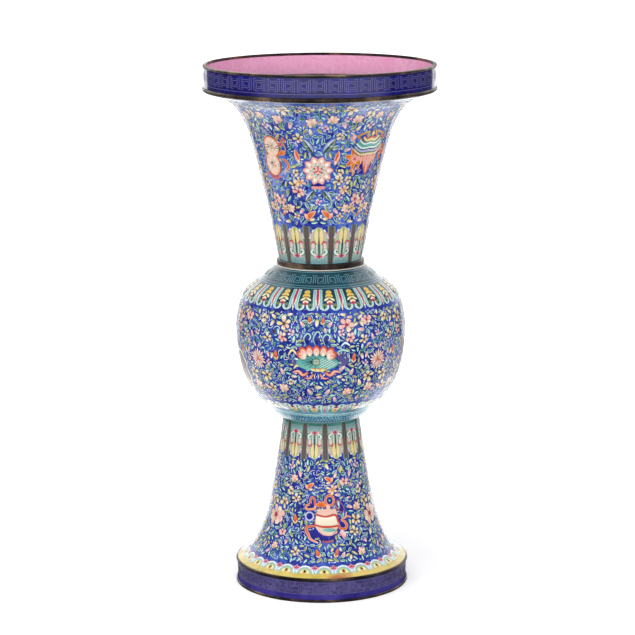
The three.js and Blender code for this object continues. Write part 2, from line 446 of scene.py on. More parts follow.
# Painted enamel: each ink runs from its first colour at a shape's root to its second at the tip
inks = dict(
    leafDeep=((18, 50, 66), (40, 100, 98)),
    leafTeal=((52, 132, 136), (132, 200, 186)),
    leafGreen=((40, 98, 66), (110, 170, 112)),
    leafLime=((120, 148, 66), (208, 214, 128)),
    leafAqua=((96, 168, 172), (190, 230, 212)),
    lilac=((140, 142, 210), (210, 210, 236)),
    cream=((224, 192, 146), (252, 246, 230)),
    blush=((224, 128, 136), (251, 230, 222)),
    rose=((170, 42, 84), (228, 130, 152)),
    orange=((196, 54, 32), (240, 146, 88)),
    peach=((232, 142, 104), (250, 212, 180)),
    yellow=((212, 154, 38), (250, 222, 108)),
    butter=((222, 186, 104), (250, 242, 194)),
    crimson=((122, 24, 58), (190, 70, 100)),
    stemDark=((18, 30, 62), (30, 66, 72)),
    frost=((190, 224, 220), (244, 250, 240)),
    cobaltDeep=((28, 24, 104), (40, 44, 150)),
    skyBlue=((58, 106, 212), (108, 158, 234)),
    lappetTurquoise=((82, 128, 132), (176, 206, 202)),
    lappetCream=((156, 178, 168), (206, 200, 166)),
    brownViolet=((34, 30, 36), (112, 92, 94)),
    veinGreen=((62, 88, 76), (142, 158, 124)),
    fretLilac=((74, 70, 132), (122, 116, 162)),
    fretTeal=((52, 104, 122), (112, 164, 178)),
    tealDeep=((24, 72, 92), (40, 100, 118)),
    petalEdge=((138, 72, 92), (176, 104, 116)),
    petalCream=((222, 216, 192), (242, 176, 168)),
    flame=((206, 62, 26), (246, 166, 66)),
    fishScale=((158, 158, 156), (238, 206, 178)),
    bareCopper=((96, 72, 58), (150, 126, 110)),
    chipDark=((36, 30, 26), (62, 52, 44)),
    magenta=((196, 40, 118), (238, 128, 172)),
)
inkNames = list(inks)


def paintFinish():
    finish = Finish("motifEnamel")
    uv = finish.node("ShaderNodeUVMap", dict(uv_map=mapName), {})
    across, tone = finish.axes(uv, "XY")
    ends = [finish.ramp(across, [(i / 32, linear(pair[end])) for i, pair in enumerate(inks.values())],
        "CONSTANT") for end in (0, 1)]
    colour = finish.mix(tone, *ends)
    return finish.surface(colour, 0.12, IOR=1.45)


motifEnamel = paintFinish()


widestPlate, plateRing = 4.5, 3.2  # millimetres: half a plate's width, and of the rings in a wider one
coverStep = 0.3  # millimetres between the points that say which part of a field a motif covers


# One painted motif, flat, in millimetres, made of thin raised plates
class Motif:
    def __init__(self):
        self.bm = bmesh.new()
        self.uv = self.bm.loops.layers.uv.new(mapName)
        self.tone = self.bm.verts.layers.float.new("tone")
        self.side = 1
        self.discs = []
        self.ready = {}
        self.cover = {}

    def colour(self, faces, ink):
        places = [loop.vert.co for face in faces for loop in face.loops]
        low = [min(p[k] for p in places) for k in range(3)]
        high = [max(p[k] for p in places) for k in range(3)]
        wide, tall = max(high[0] - low[0], 1e-6), max(high[1] - low[1], 1e-6)
        slot = inkNames.index(ink)
        for face in faces:
            for loop in face.loops:
                x, y, z = loop.vert.co
                share = 0.12 + 0.58 * (x - low[0]) / wide + (0.18 if z < high[2] - 1e-5 else 0)
                tone = 0.03 + 0.92 * loop.vert[self.tone] + 0.02 * (y - low[1]) / tall
                loop[self.uv].uv = ((slot + share) / 32, tone)

    def plate(self, faces, ink, rise, rim=None, half=None, ends=None, crown=None, reach=0.0):
        bm = self.bm
        for face in faces:
            face.normal_update()
            if face.normal.z < 0:
                face.normal_flip()
        lifted = bmesh.ops.extrude_face_region(bm, geom=faces)["geom"]
        verts = [g for g in lifted if isinstance(g, bmesh.types.BMVert)]
        top = [g for g in lifted if isinstance(g, bmesh.types.BMFace)]
        bmesh.ops.translate(bm, verts=verts, vec=(0, 0, rise))
        sides = list({face for vert in verts for face in vert.link_faces} | set(faces))
        self.colour(sides, "stemDark")
        self.colour(top, ink)
        if rim:
            edging = bmesh.ops.inset_region(bm, faces=top, thickness=rim[1], use_even_offset=True,
                use_boundary=True)["faces"]
            self.colour(edging, rim[0])
            self.colour(top, ink)
            reach -= rim[1]
        while reach > widestPlate:  # a wide plate follows the curve of the vase in rings
            bands = bmesh.ops.inset_region(bm, faces=top, thickness=plateRing, use_even_offset=True,
                use_boundary=True)["faces"]
            self.colour(bands, ink)
            reach -= plateRing
        if crown is not None and len(top) == 1:
            tone = sum(vert[self.tone] for vert in top[0].verts) / len(top[0].verts)
            poked = bmesh.ops.poke(bm, faces=top, offset=crown)
            for vert in poked["verts"]:
                vert[self.tone] = tone
            self.colour(poked["faces"], ink)
            if half:
                run = ends[1] - ends[0]
                right = [face for face in poked["faces"]
                    if run.cross(face.calc_center_median().xy - ends[0]) < 0]
                self.colour(right, half)

    def blade(self, length, width, ink, at=(0, 0), turn=0, lean=(0.8, 0.8), tone=(0, 1), sides=8, bend=0,
            layer=0.0, rise=0.14, **more):
        made = bmesh.ops.create_circle(self.bm, cap_ends=True, segments=sides, radius=1)["verts"]
        a, b = lean
        peak = (a / (a + b)) ** a * (b / (a + b)) ** b
        for i, vert in enumerate(made):
            share = (1 - math.cos(fullTurn * i / sides)) / 2
            wide = width / 2 * max(share, 0) ** a * max(1 - share, 0) ** b / peak
            vert.co = (math.copysign(wide, math.sin(fullTurn * i / sides)) + self.side * bend * share ** 2,
                length * share, layer)
            vert[self.tone] = tone[0] + (tone[1] - tone[0]) * share
        spin = Matrix.Translation((self.side * at[0], at[1], 0))
        spin = spin @ Matrix.Rotation(math.radians(self.side * turn), 4, "Z")
        bmesh.ops.transform(self.bm, matrix=spin, verts=made)
        ends = [made[0].co.xy, made[sides // 2].co.xy]
        count = max(1, round(length / max(width, 1.2)))
        for i in range(count):
            share = (i + 0.5) / count
            spot = ends[0].lerp(ends[1], share)
            self.discs.append((spot.x, spot.y, width * 0.42))
        self.plate(list(made[0].link_faces), ink, rise, ends=ends, crown=min(0.05 + 0.02 * length, 0.2),
            **more)
        return ends[1]

    def dot(self, at, radius, ink, tone=0.5, sides=6, layer=0.0, rise=0.14, **more):
        x, y = self.side * at[0], at[1]
        place = Matrix.Translation((x, y, layer))
        made = bmesh.ops.create_circle(self.bm, cap_ends=True, segments=sides, radius=radius,
            matrix=place)["verts"]
        for vert in made:
            vert[self.tone] = tone
        self.discs.append((x, y, radius))
        self.plate(list(made[0].link_faces), ink, rise, crown=min(0.04 * radius, 0.12), reach=radius,
            **more)

    def stroke(self, points, width, ink, tone=(0, 1), layer=0.0, rise=0.12, claim=False, **more):
        path = [Vector((self.side * x, y)) for x, y in points]
        widths = (width, width, width) if isinstance(width, (int, float)) else width
        pair, made = None, []
        for i, point in enumerate(path):
            before = (point - path[i - 1]).normalized() if i else None
            after = (path[i + 1] - point).normalized() if i < len(path) - 1 else None
            run = ((before or after) + (after or before)).normalized()
            side = Vector((-run.y, run.x))
            mitre = 1 / max(side.dot(Vector((-(after or before).y, (after or before).x))), 0.6)
            share = i / (len(path) - 1)
            reach = float(np.interp(share, [0, 0.5, 1], widths)) / 2 * mitre
            corners = [point + side * reach, point - side * reach]
            if pair is None:
                pair = [self.bm.verts.new((c.x, c.y, layer)) for c in corners]
                edge = self.bm.edges.new(pair)
            else:
                grown = bmesh.ops.extrude_edge_only(self.bm, edges=[edge])["geom"]
                edge = next(g for g in grown if isinstance(g, bmesh.types.BMEdge)
                    and not any(v in pair for v in g.verts))
                ahead = [g for g in grown if isinstance(g, bmesh.types.BMVert)]
                if not any(set(e.verts) == {pair[0], ahead[0]} for e in pair[0].link_edges):
                    ahead.reverse()
                pair = ahead
                for vert, corner in zip(pair, corners):
                    vert.co = (corner.x, corner.y, layer)
            for vert in pair:
                vert[self.tone] = tone[0] + (tone[1] - tone[0]) * share
            made += pair
            if claim:
                self.discs.append((point.x, point.y, max(reach, 0.3)))
        faces = list({f for v in made for f in v.link_faces})
        self.plate(faces, ink, rise, **more)

    def panel(self, width, height, ink, columns, rows, at=(0, 0), outline=None, tone=(0, 1), layer=0.0,
            rise=0.1, **more):
        made = bmesh.ops.create_grid(self.bm, x_segments=columns, y_segments=rows, size=0.5)["verts"]
        for vert in made:
            share = min(max(vert.co.y + 0.5, 0), 1)
            wide = width * (outline(share) if outline else 1)
            vert.co = (at[0] + vert.co.x * wide, at[1] + height * share, layer)
            vert[self.tone] = tone[0] + (tone[1] - tone[0]) * share
        self.discs.append((at[0], at[1] + height / 2, min(width, height) / 2))
        faces = list({f for v in made for f in v.link_faces})
        self.plate(faces, ink, rise, **more)

    def spots(self, grow):
        # points that fill the motif and a gap round it
        if grow not in self.cover:
            discs = np.array(self.discs or [(0, 0, 0.5)])
            reach = np.abs(discs).max() + discs[:, 2].max() + grow
            steps = np.arange(-reach, reach + coverStep, coverStep)
            x, y = (part.ravel() for part in np.meshgrid(steps, steps))
            apart = np.hypot(x[:, None] - discs[:, 0], y[:, None] - discs[:, 1]) - discs[:, 2]
            near = apart.min(axis=1) < grow
            self.cover[grow] = np.stack([x[near], y[near]], 1)
        return self.cover[grow]

    def mesh(self, mirror):
        if not self.ready:
            plain = bpy.data.meshes.new("motif")
            self.bm.to_mesh(plain)
            flipped = plain.copy()
            flipped.transform(Matrix.Diagonal((-1, 1, 1, 1)))
            flipped.flip_normals()
            self.ready = {False: plain, True: flipped}
        return self.ready[mirror]


relief = 0.7  # how much of a motif's drawn thickness stands on the enamel
flatRadius = 100  # a field is unrolled at this radius, so a turn of one radian is 100 mm wide


# A field of the vase, unrolled: angle round it, millimetres up its surface
class Field:
    def __init__(self, name, line, slot):
        fine = np.array(line)
        self.name, self.slot = name, slot
        self.radii, self.levels = fine[:, 0], fine[:, 1]
        self.run = np.concatenate([[0], np.cumsum(np.hypot(*np.diff(fine, axis=0).T))])
        self.bm = bmesh.new()
        self.cell = 0.4
        self.columns = int(fullTurn * self.radii.mean() / self.cell)
        self.held = np.zeros((int(self.run[-1] / self.cell) + 1, self.columns), bool)

    def radius(self, along):
        return float(np.interp(along, self.run, self.radii))

    def up(self, level):
        return float(np.interp(level, self.levels, self.run))

    def cells(self, motif, angle, along, turn, size, mirror, grow):
        spots = motif.spots(grow) * size
        x = -spots[:, 0] if mirror else spots[:, 0]
        c, s = math.cos(math.radians(turn)), math.sin(math.radians(turn))
        across, upward = x * c - spots[:, 1] * s, x * s + spots[:, 1] * c
        turns = math.radians(angle) + across / self.radius(along)
        columns = np.floor(turns / fullTurn * self.columns).astype(int) % self.columns
        return np.floor((along + upward) / self.cell).astype(int), columns

    def put(self, motif, angle, along, turn=0, size=1.0, mirror=False, claim=True, layer=0.0):
        stretch = Matrix.Diagonal((flatRadius / self.radius(along), 1, 1, 1))
        place = Matrix.Translation((flatRadius * math.radians(angle), along, layer)) @ stretch
        place = place @ Matrix.Rotation(math.radians(turn), 4, "Z") @ Matrix.Diagonal((size, size, 1, 1))
        mesh = motif.mesh(mirror)
        mesh.transform(place)
        self.bm.from_mesh(mesh)
        mesh.transform(place.inverted())
        if claim:
            rows, columns = self.cells(motif, angle, along, turn, size, mirror, 0.05)
            self.held[np.clip(rows, 0, len(self.held) - 1), columns] = True

    def free(self, placing, grow, low, high):
        rows, columns = self.cells(*placing, grow)
        inside = rows.min() * self.cell > low and rows.max() * self.cell < high
        return bool(inside and not self.held[rows, columns].any())

    def fill(self, motifs, low, high, tries, seed, gap, sizes, axis=None, repeats=1):
        # with an axis, the two halves of each repeat mirror each other
        dice = random.Random(seed)
        widest = self.radii[(self.run > low) & (self.run < high)].max()
        for _ in range(tries):
            along, aside = dice.uniform(low, high), dice.uniform(0, 180 / repeats)
            turn, size = dice.uniform(0, 360), dice.uniform(*sizes)
            motif, mirror = dice.choice(motifs), dice.random() < 0.5
            if dice.random() * widest > self.radius(along):
                continue
            placing = (motif, (axis or 0) + aside, along, turn, size, mirror)
            if axis is None:
                placing = (motif, 2 * aside, along, turn, size, mirror)
                if self.free(placing, gap, low, high):
                    self.put(*placing)
                continue
            if not self.free(placing, gap, low, high):
                continue
            for k in range(repeats):
                for side in (1, -1):
                    angle = axis + side * aside + 360 / repeats * k
                    placing = (motif, angle, along, side * turn, size, mirror == (side > 0))
                    if self.free(placing, gap, low, high):
                        self.put(*placing)

    def surface(self, angle, along, height):
        radius, level = np.interp(along, self.run, self.radii), np.interp(along, self.run, self.levels)
        slope = np.stack([np.gradient(self.radii, self.run), np.gradient(self.levels, self.run)])
        out, up = np.interp(along, self.run, slope[1]), -np.interp(along, self.run, slope[0])
        reach = radius + out * height + ripple(angle, level)
        return np.stack([reach * np.sin(angle), -reach * np.cos(angle), level + up * height], 1) / 1000

    def finish(self):
        mesh = bpy.data.meshes.new(self.name)
        self.bm.to_mesh(mesh)
        self.bm.free()
        co = read(mesh.vertices, "co", 3)
        angle, along = co[:, 0] / flatRadius, co[:, 1]
        place = self.surface(angle, along, co[:, 2] * relief)
        across = self.surface(angle + 0.002, along, 0) - self.surface(angle - 0.002, along, 0)
        upward = self.surface(angle, along + 0.1, 0) - self.surface(angle, along - 0.1, 0)
        normals = np.cross(across, upward)
        normals /= np.linalg.norm(normals, axis=1)[:, None]
        mesh.vertices.foreach_set("co", place.ravel())
        mesh.shade_smooth()
        mesh.update()
        mesh.normals_split_custom_set_from_vertices(normals.tolist())
        addPiece(self.name, mesh, [motifEnamel])
        print(self.name, sum(len(face.vertices) - 2 for face in mesh.polygons), "triangles")


def drawn(draw):
    # the function that draws on a motif becomes one that returns a new motif
    def make(*given, **named):
        motif = Motif()
        draw(motif, *given, **named)
        return motif
    return make


def arc(at, wide, tall, turns):
    return [(at[0] + wide * math.cos(t), at[1] + tall * math.sin(t)) for t in turns]


def spoke(turn, reach, at=(0, 0)):
    return Vector(at) + Matrix.Rotation(math.radians(turn), 2) @ Vector((0, reach))


def petals(motif, count, length, width, inks, first=0, reach=0, at=(0, 0), skew=0, layer=0.0, lift=0,
        **more):
    # a ring of blades that starts at a turn of first, every other one lifted
    for i in range(count):
        turn = first + 360 / count * i
        motif.blade(length, width, inks[i % len(inks)], at=spoke(turn, reach, at), turn=turn + skew,
            layer=layer + lift * (i % 2), **more)


# Leaves, sprigs and small flowers
leafPairs = [("leafDeep", "leafTeal", "frost"), ("leafTeal", "frost", "leafDeep"),
    ("leafLime", "leafGreen", "butter"), ("butter", "leafLime", "leafGreen"),
    ("leafDeep", "leafGreen", "leafAqua"), ("leafAqua", "leafDeep", "lilac"),
    ("leafGreen", "leafAqua", "frost"), ("frost", "leafAqua", "leafTeal")]


@drawn
def leafMotif(motif, pair, length=5.2, width=2.3):
    motif.blade(length, width, pair[0], at=(0, -length / 2), half=pair[1], bend=0.6, lean=(0.6, 0.8),
        rim=(pair[2], 0.26), tone=(0.1, 0.9))


@drawn
def sprigMotif(motif, seed):
    dice = random.Random(seed)
    reach, curve = dice.uniform(9, 12), dice.uniform(-3.6, 3.6)
    path = smoothLine([(0, -reach / 2), (curve * 0.7, 0), (curve, reach / 2)], 4)
    motif.stroke(path, (0.7, 0.55, 0.35), dice.choice(["stemDark", "leafDeep", "lilac"]), rise=0.1)
    for i, share in enumerate((0.06, 0.3, 0.54, 0.8)):
        spot = path[0] + (path[-1] - path[0]) * share
        first, second, edge = leafPairs[(seed + i * 3) % len(leafPairs)]
        side = 1 if (i + seed) % 2 else -1
        motif.blade(dice.uniform(4.2, 6.0), dice.uniform(1.9, 2.6), first, at=spot, half=second,
            rim=(edge, 0.26), turn=side * dice.uniform(35, 65), lean=(0.6, 0.8), bend=0.5 * side,
            tone=(0.1, 0.9))
    tip = dice.choice(["leafLime", "blush", "butter", "leafAqua", "cream"])
    motif.blade(4.2, 2.3, tip, at=path[-1], turn=-math.degrees(math.atan2(curve, reach)), lean=(0.5, 0.8),
        rim=("cream", 0.26))


@drawn
def dabMotif(motif, ink, length=2.2, width=1.0):
    motif.blade(length, width, ink, at=(0, -length / 2), sides=6, rise=0.1, tone=(0.4, 1))


@drawn
def lineMotif(motif, ink, seed):
    dice = random.Random(seed)
    path = [(0, -3.2), (dice.uniform(0.6, 1.6), -1), (dice.uniform(0.4, 1.4), 1.4), (-0.6, 3.2),
        (-1.5, 2.6)]
    motif.stroke(smoothLine(path, 5), (0.3, 0.55, 0.35), ink, rise=0.1, tone=(0.3, 1), claim=True)


@drawn
def curlMotif(motif, ink, size=3.4):
    turns = [(size * t * math.cos(4.2 * t), size * t * math.sin(4.2 * t))
        for t in (0.25, 0.45, 0.65, 0.85, 1)]
    motif.stroke(turns, (0.3, 0.6, 0.35), ink, claim=True)


@drawn
def flowerMotif(motif, count, size, inks, heart, edge, seed, lean=(0.9, 0.35), wide=0.46):
    # quick uneven petals of mixed inks, each with a darker vein, as a brush leaves them
    dice = random.Random(seed)
    for i in range(count):
        at = 17 * seed + 360 / count * i + dice.uniform(-12, 12)
        motif.blade(size * dice.uniform(0.42, 0.6), size * wide * dice.uniform(0.72, 1.08),
            inks[i % len(inks)], turn=at, lean=lean, sides=8, layer=0.02 * (i % 2), rise=0.18,
            rim=(edge, 0.26), tone=(0, dice.uniform(0.7, 1)), bend=dice.uniform(-0.5, 0.5))
        motif.blade(size * 0.34, size * 0.11, inks[(i + 1) % len(inks)], turn=at + dice.uniform(-8, 8),
            layer=0.24, rise=0.06, sides=4, tone=(0, 0.3))
    motif.dot((0, 0), size * 0.13, heart, layer=0.2, rise=0.16, sides=5)


@drawn
def budMotif(motif, ink, cup, length=5.0):
    motif.blade(length, 2.6, ink, at=(0, -length * 0.35), lean=(0.5, 0.8), rise=0.2)
    for motif.side in (-1, 1):
        motif.blade(length * 0.5, 1.17, cup, at=(0, -length * 0.5), turn=34, rise=0.16)


leaves = [leafMotif(pair) for pair in leafPairs]
slimLeaves = [leafMotif(pair, 3.7, 1.6) for pair in leafPairs]
sprigs = [sprigMotif(seed) for seed in range(8)]
curls = [curlMotif("lilac"), curlMotif("leafAqua", 2.8), curlMotif("frost", 2.4)]
lines = [lineMotif(ink, i) for i, ink in enumerate(("frost", "lilac", "leafAqua", "leafDeep", "cream"))]
dabs = [dabMotif(ink) for ink in ("frost", "leafDeep", "leafAqua", "lilac", "cream", "leafTeal", "stemDark",
    "leafLime")]
creamBlossom = flowerMotif(5, 9.4, ("cream", "butter", "cream", "blush"), "brownViolet", "veinGreen", 1,
    wide=0.4)
roundBlossom = flowerMotif(6, 8.8, ("cream", "petalCream", "butter"), "flame", "petalEdge", 2, wide=0.34)
peachBlossom = flowerMotif(5, 9.8, ("petalCream", "blush", "cream"), "crimson", "petalEdge", 3, wide=0.4)
butterBlossom = flowerMotif(5, 7.2, ("butter", "cream", "petalCream"), "brownViolet", "veinGreen", 4)
pinkBlossom = flowerMotif(5, 8.6, ("blush", "petalCream", "cream"), "crimson", "petalEdge", 5)
starBlossom = flowerMotif(4, 6.6, ("cream", "blush"), "crimson", "leafLime", 6, (0.7, 0.7), 0.36)
littlePink = flowerMotif(4, 5.6, ("blush", "cream"), "crimson", "lilac", 7)
pinkBud = budMotif("blush", "leafAqua")
creamBud = budMotif("cream", "leafLime")
redBud = budMotif("orange", "butter", 5.6)
smalls = [creamBlossom, peachBlossom, butterBlossom, littlePink, pinkBud, creamBud, roundBlossom]


@drawn
def redSprayMotif(motif):
    motif.blade(11, 4.0, "peach", at=(0, -5), lean=(0.6, 0.7), sides=10, rise=0.16)
    motif.blade(8.5, 2.2, "orange", at=(0.3, -2.6), lean=(0.6, 0.7), tone=(0, 0.9), layer=0.1, rise=0.14)
    motif.blade(3.4, 1.8, "cream", at=(0.2, -5.6), layer=0.12, rise=0.14)


@drawn
def fanMotif(motif, first="cream", second="petalCream"):
    for turn, length, ink in ((-58, 4.8, second), (-30, 6.9, first), (-4, 7.2, second), (22, 7.4, first),
            (50, 5.4, second), (84, 3.8, first)):
        motif.blade(length, 2.9, ink, at=(0, -3), turn=turn, lean=(0.9, 0.4), rise=0.16,
            layer=0.02 * (abs(turn) // 22 % 2), rim=("petalEdge", 0.26), tone=(0, 0.9))
        motif.blade(length * 0.6, 0.6, "blush", at=(0, -3), turn=turn + 4, layer=0.24, rise=0.06, sides=4,
            tone=(0, 0.5))
    motif.blade(2.6, 1.6, "leafLime", at=(0, -4.6), turn=-20, layer=0.26, rise=0.08)
    motif.blade(2.6, 1.2, "leafTeal", at=(0, -4.4), turn=40, layer=0.26, rise=0.08)


@drawn
def tulipMotif(motif):
    motif.blade(10, 4.6, "orange", at=(-4.6, -2.2), turn=-62, lean=(0.6, 0.8), bend=1.2, rise=0.2,
        rim=("peach", 0.55), sides=10)
    motif.blade(5.2, 3.2, "peach", at=(-3.2, -2.6), turn=8, lean=(0.5, 0.8), layer=0.08)
    motif.blade(4.4, 2.4, "butter", at=(-2.8, -3.6), turn=-100, layer=0.04)


@drawn
def daisyMotif(motif):
    petals(motif, 10, 9.6, 4.0, ["frost"], 36, lean=(1.0, 0.7), rise=0.1, tone=(0.1, 0.5))
    petals(motif, 10, 11.8, 6.0, ["petalCream"], 18, lift=0.03, lean=(1.5, 0.9), sides=14, rise=0.2,
        tone=(0, 0.9), rim=("petalEdge", 0.42))
    petals(motif, 10, 5.2, 2.3, ["cream"], 18, 4.4, tone=(0.9, 1), layer=0.24, rise=0.06)
    petals(motif, 10, 3.6, 0.5, ["petalEdge"], 18, 4.4, tone=(0.7, 1), layer=0.32, rise=0.06)
    petals(motif, 10, 3.4, 1.6, ["leafAqua"], 18, 2.42, skew=22, tone=(0.2, 0.6), layer=0.2, rise=0.06)
    motif.dot((0, 0), 3.7, "blush", sides=16, tone=0.1, layer=0.22, rise=0.1, rim=("petalEdge", 0.4))
    for reach, count, radius in ((3.0, 12, 0.62), (1.5, 6, 0.6)):
        for i in range(count):
            motif.dot(spoke(360 / count * i, reach), radius, ("crimson", "butter")[i % 2], tone=0.8,
                layer=0.32, rise=0.1)
    motif.dot((0, 0), 0.7, "rose", layer=0.32, rise=0.12)


@drawn
def barBudMotif(motif):
    motif.blade(12, 3.2, "cobaltDeep", at=(-6, 1.6), turn=-90, lean=(0.5, 0.5), rise=0.1)
    motif.stroke([(-4.8, 0.1), (0, -0.2), (4.8, 0.1)], 2.4, "blush", tone=(0.1, 0.1), rim=("peach", 0.45),
        layer=0.1, claim=True)
    for motif.side in (-1, 1):
        motif.blade(4.0, 2.0, "leafTeal", at=(5.4, 1.4), turn=-80, rise=0.1)


@drawn
def chrysanthemumMotif(motif):
    for i in range(17):
        turn = 360 / 17 * i
        length = 9.4 - 0.9 * (i % 3) if abs((turn + 180) % 360 - 180) < 110 else 6.4
        motif.blade(length, 2.1, ("cream", "petalCream", "cream", "blush")[i % 4], turn=turn,
            lean=(0.8, 0.7), rise=0.16, layer=0.02 * (i % 2), bend=0.5, rim=("petalEdge", 0.2), sides=6)
    petals(motif, 9, 4.8, 1.3, ("rose", "cream", "blush"), 12, layer=0.22, rise=0.1, sides=6,
        rim=("petalEdge", 0.16))
    motif.dot((0, 0.4), 1.3, "orange", layer=0.34, rise=0.08)
    for side in (-2, -1, 0, 1, 2):
        motif.blade(5.0 - 0.5 * abs(side), 2.2, ("cream", "frost", "blush")[side % 3],
            at=(side * 1.6, -3.6), turn=180 + side * 20, layer=0.12, rim=("petalEdge", 0.2), sides=6)


@drawn
def leafVMotif(motif):
    motif.blade(13, 5.6, "veinGreen", lean=(0.7, 0.8), half="lilac", sides=12, bend=1.2,
        rim=("leafGreen", 0.3), tone=(0.2, 1))
    motif.blade(12, 1.3, "leafDeep", lean=(0.5, 0.8), layer=0.24, rise=0.08, bend=1.0, tone=(0.2, 0.8))
    for side, length in ((-1, 4), (1, 4.6), (1, 3.4)):
        motif.blade(length, 0.6, "frost", at=(0.4, 3 + 8 / length), turn=-side * 26, layer=0.24, rise=0.06,
            sides=4)


# Ribboned emblems
def ribbon(motif, points, width=(1.4, 2.2, 0.8), ink="peach", edge="orange"):
    motif.stroke(smoothLine(points, max(6, 3 * len(points))), width, ink, rise=0.16, rim=(edge, 0.38),
        layer=0.02, claim=True)


@drawn
def lotusMotif(motif):
    motif.blade(12.6, 9.4, "fretLilac", at=(17.4, -5.4), turn=-22, sides=14, tone=(0.5, 0.0), layer=-0.02,
        rise=0.08)
    motif.blade(7, 5, "fretLilac", at=(-17, -4.4), turn=-10, tone=(0.4, 0.0), layer=-0.02, rise=0.08)
    leafEdge = lambda up: max(1 - abs(2 * up - 1.04) ** 2.4, 0.02) ** 0.8
    motif.panel(33.4, 14.2, "leafDeep", 12, 8, at=(0.6, -8.8), tone=(0.9, 0.2), rise=0.1, outline=leafEdge)
    motif.panel(31.6, 13, "leafTeal", 12, 8, at=(0.6, -8.5), tone=(0.95, 0.2), layer=0.12, rise=0.06,
        outline=leafEdge)
    motif.discs += [(x, -2, 5.4) for x in (-11, 12)]
    inside = lambda x, y: abs(y + 2.2) < 5.6 * (1 - abs(x / 16) ** 2.2)
    for k in range(9):
        for slope in (0.55, -0.55):  # a pale net over its right half
            net = [(x, (k - 4) * 1.9 - 2.2 + slope * (x - 8)) for x in np.arange(2.4, 15.4, 1.6)]
            net = [spot for spot in net if inside(*spot)]
            if len(net) > 1:
                motif.stroke(net, 0.4, ("leafAqua", "frost")[slope > 0], tone=(0.4, 0.8), layer=0.22,
                    rise=0.05)
    for turn in range(96, 265, 24):  # dark veins in its left half
        way = Vector((math.cos(math.radians(turn)), 0.46 * math.sin(math.radians(turn))))
        vein = [(reach * way.x, -0.8 + reach * way.y) for reach in (1.8, 4, 6.5, 9, 11.4)
            if inside(reach * way.x, -0.8 + reach * way.y)]
        motif.stroke(vein, (0.8, 0.6, 0.3), "leafDeep", tone=(0.0, 0.9), layer=0.22, rise=0.05)
    motif.dot((0, -0.8), 3.0, "veinGreen", tone=1, sides=14, layer=0.28, rise=0.1, rim=("leafDeep", 0.24))
    for lift in (-1.9, -0.8, 0.3):
        motif.stroke([(-1.9, lift), (0, lift + 0.2), (1.9, lift)], 0.35, "frost", tone=(0, 0.4), layer=0.42,
            rise=0.05)
    for x, y, turn in ((-7.6, 1.6, 54), (8.0, 1.4, -56), (-8.0, 2.8, 24), (8.4, 2.6, -26), (-4.6, 3.4, 6),
            (4.8, 3.4, -7), (0.1, 3.6, 0)):
        layer = 0.24 - abs(x) * 0.02
        motif.blade(8.8, 5.6, "orange", at=(x, y), turn=turn, lean=(0.7, 0.6), tone=(1, 0.1), sides=12,
            rise=0.14, layer=layer, rim=("petalEdge", 0.26))
        motif.blade(6.7, 4.6, "petalCream", at=(x, y + 0.3), turn=turn, lean=(0.6, 0.8), tone=(0.1, 1.0),
            sides=10, layer=layer + 0.16, rise=0.06)
        motif.blade(4.4, 1.6, "cream", at=(x, y + 0.3), turn=turn, tone=(0.6, 1), layer=layer + 0.26,
            rise=0.04, sides=6)
    for i in range(-4, 5):
        motif.blade(3.6, 1.8, ("butter", "yellow", "cream")[i % 3], at=(1.6 + i * 1.5, -5.2),
            turn=180 - i * 9, layer=0.26, rim=("veinGreen", 0.2))
    for i in (-3, -1, 1, 3):
        motif.stroke([(i * 0.9, -10), (i * 1.7, -12.6), (i * 1.1, -14.6)], (0.3, 0.6, 0.3),
            ("yellow", "frost")[i % 2], claim=True)
    for motif.side in (-1, 1):
        ribbon(motif, [(6.4, -9.0), (10.4, -11.4), (14, -8.4), (18.4, -9.6)], (1.6, 2.8, 0.8))
        ribbon(motif, [(2.4, -10.4), (5.4, -13.8), (9.4, -13.8)], (1.6, 1.8, 0.6))
    for points, ink in ((((-21.4, 3.4), (-18, 8), (-14.4, 4.4)), "butter"),
            (((13.6, 4.2), (19, 8.2), (24, 6.4)), "leafAqua"),
            (((18.4, 11), (21.6, 13.4), (25.2, 11)), "frost"),
            (((15.4, -1.6), (19.0, -1.4), (21.8, 2.6)), "leafAqua"),
            (((-18, -1.4), (-15.4, 1.2), (-12.8, 0.2)), "frost"),
            (((-17.4, -6.6), (-15, -4), (-12.4, -4.6)), "butter")):
        motif.stroke(smoothLine(points, 9), (0.8, 1.7, 0.7), ink, tone=(0.3, 1), claim=True)
    for x, top in ((-6.5, 21), (0.6, 22.5), (7.6, 20.4)):
        motif.blade(8.4, 4.6, "cobaltDeep", at=(x - 0.2, 12.6), layer=-0.02, rise=0.08)
        hook = [(x - 1.0, 12), (x - 2.7, 17), (x + 0.2, top), (x + 2.6, top - 2.4), (x + 1.2, top - 4.8)]
        motif.stroke(smoothLine(hook, 10), (0.5, 1.1, 0.6), "leafAqua", tone=(0.2, 1), claim=True)


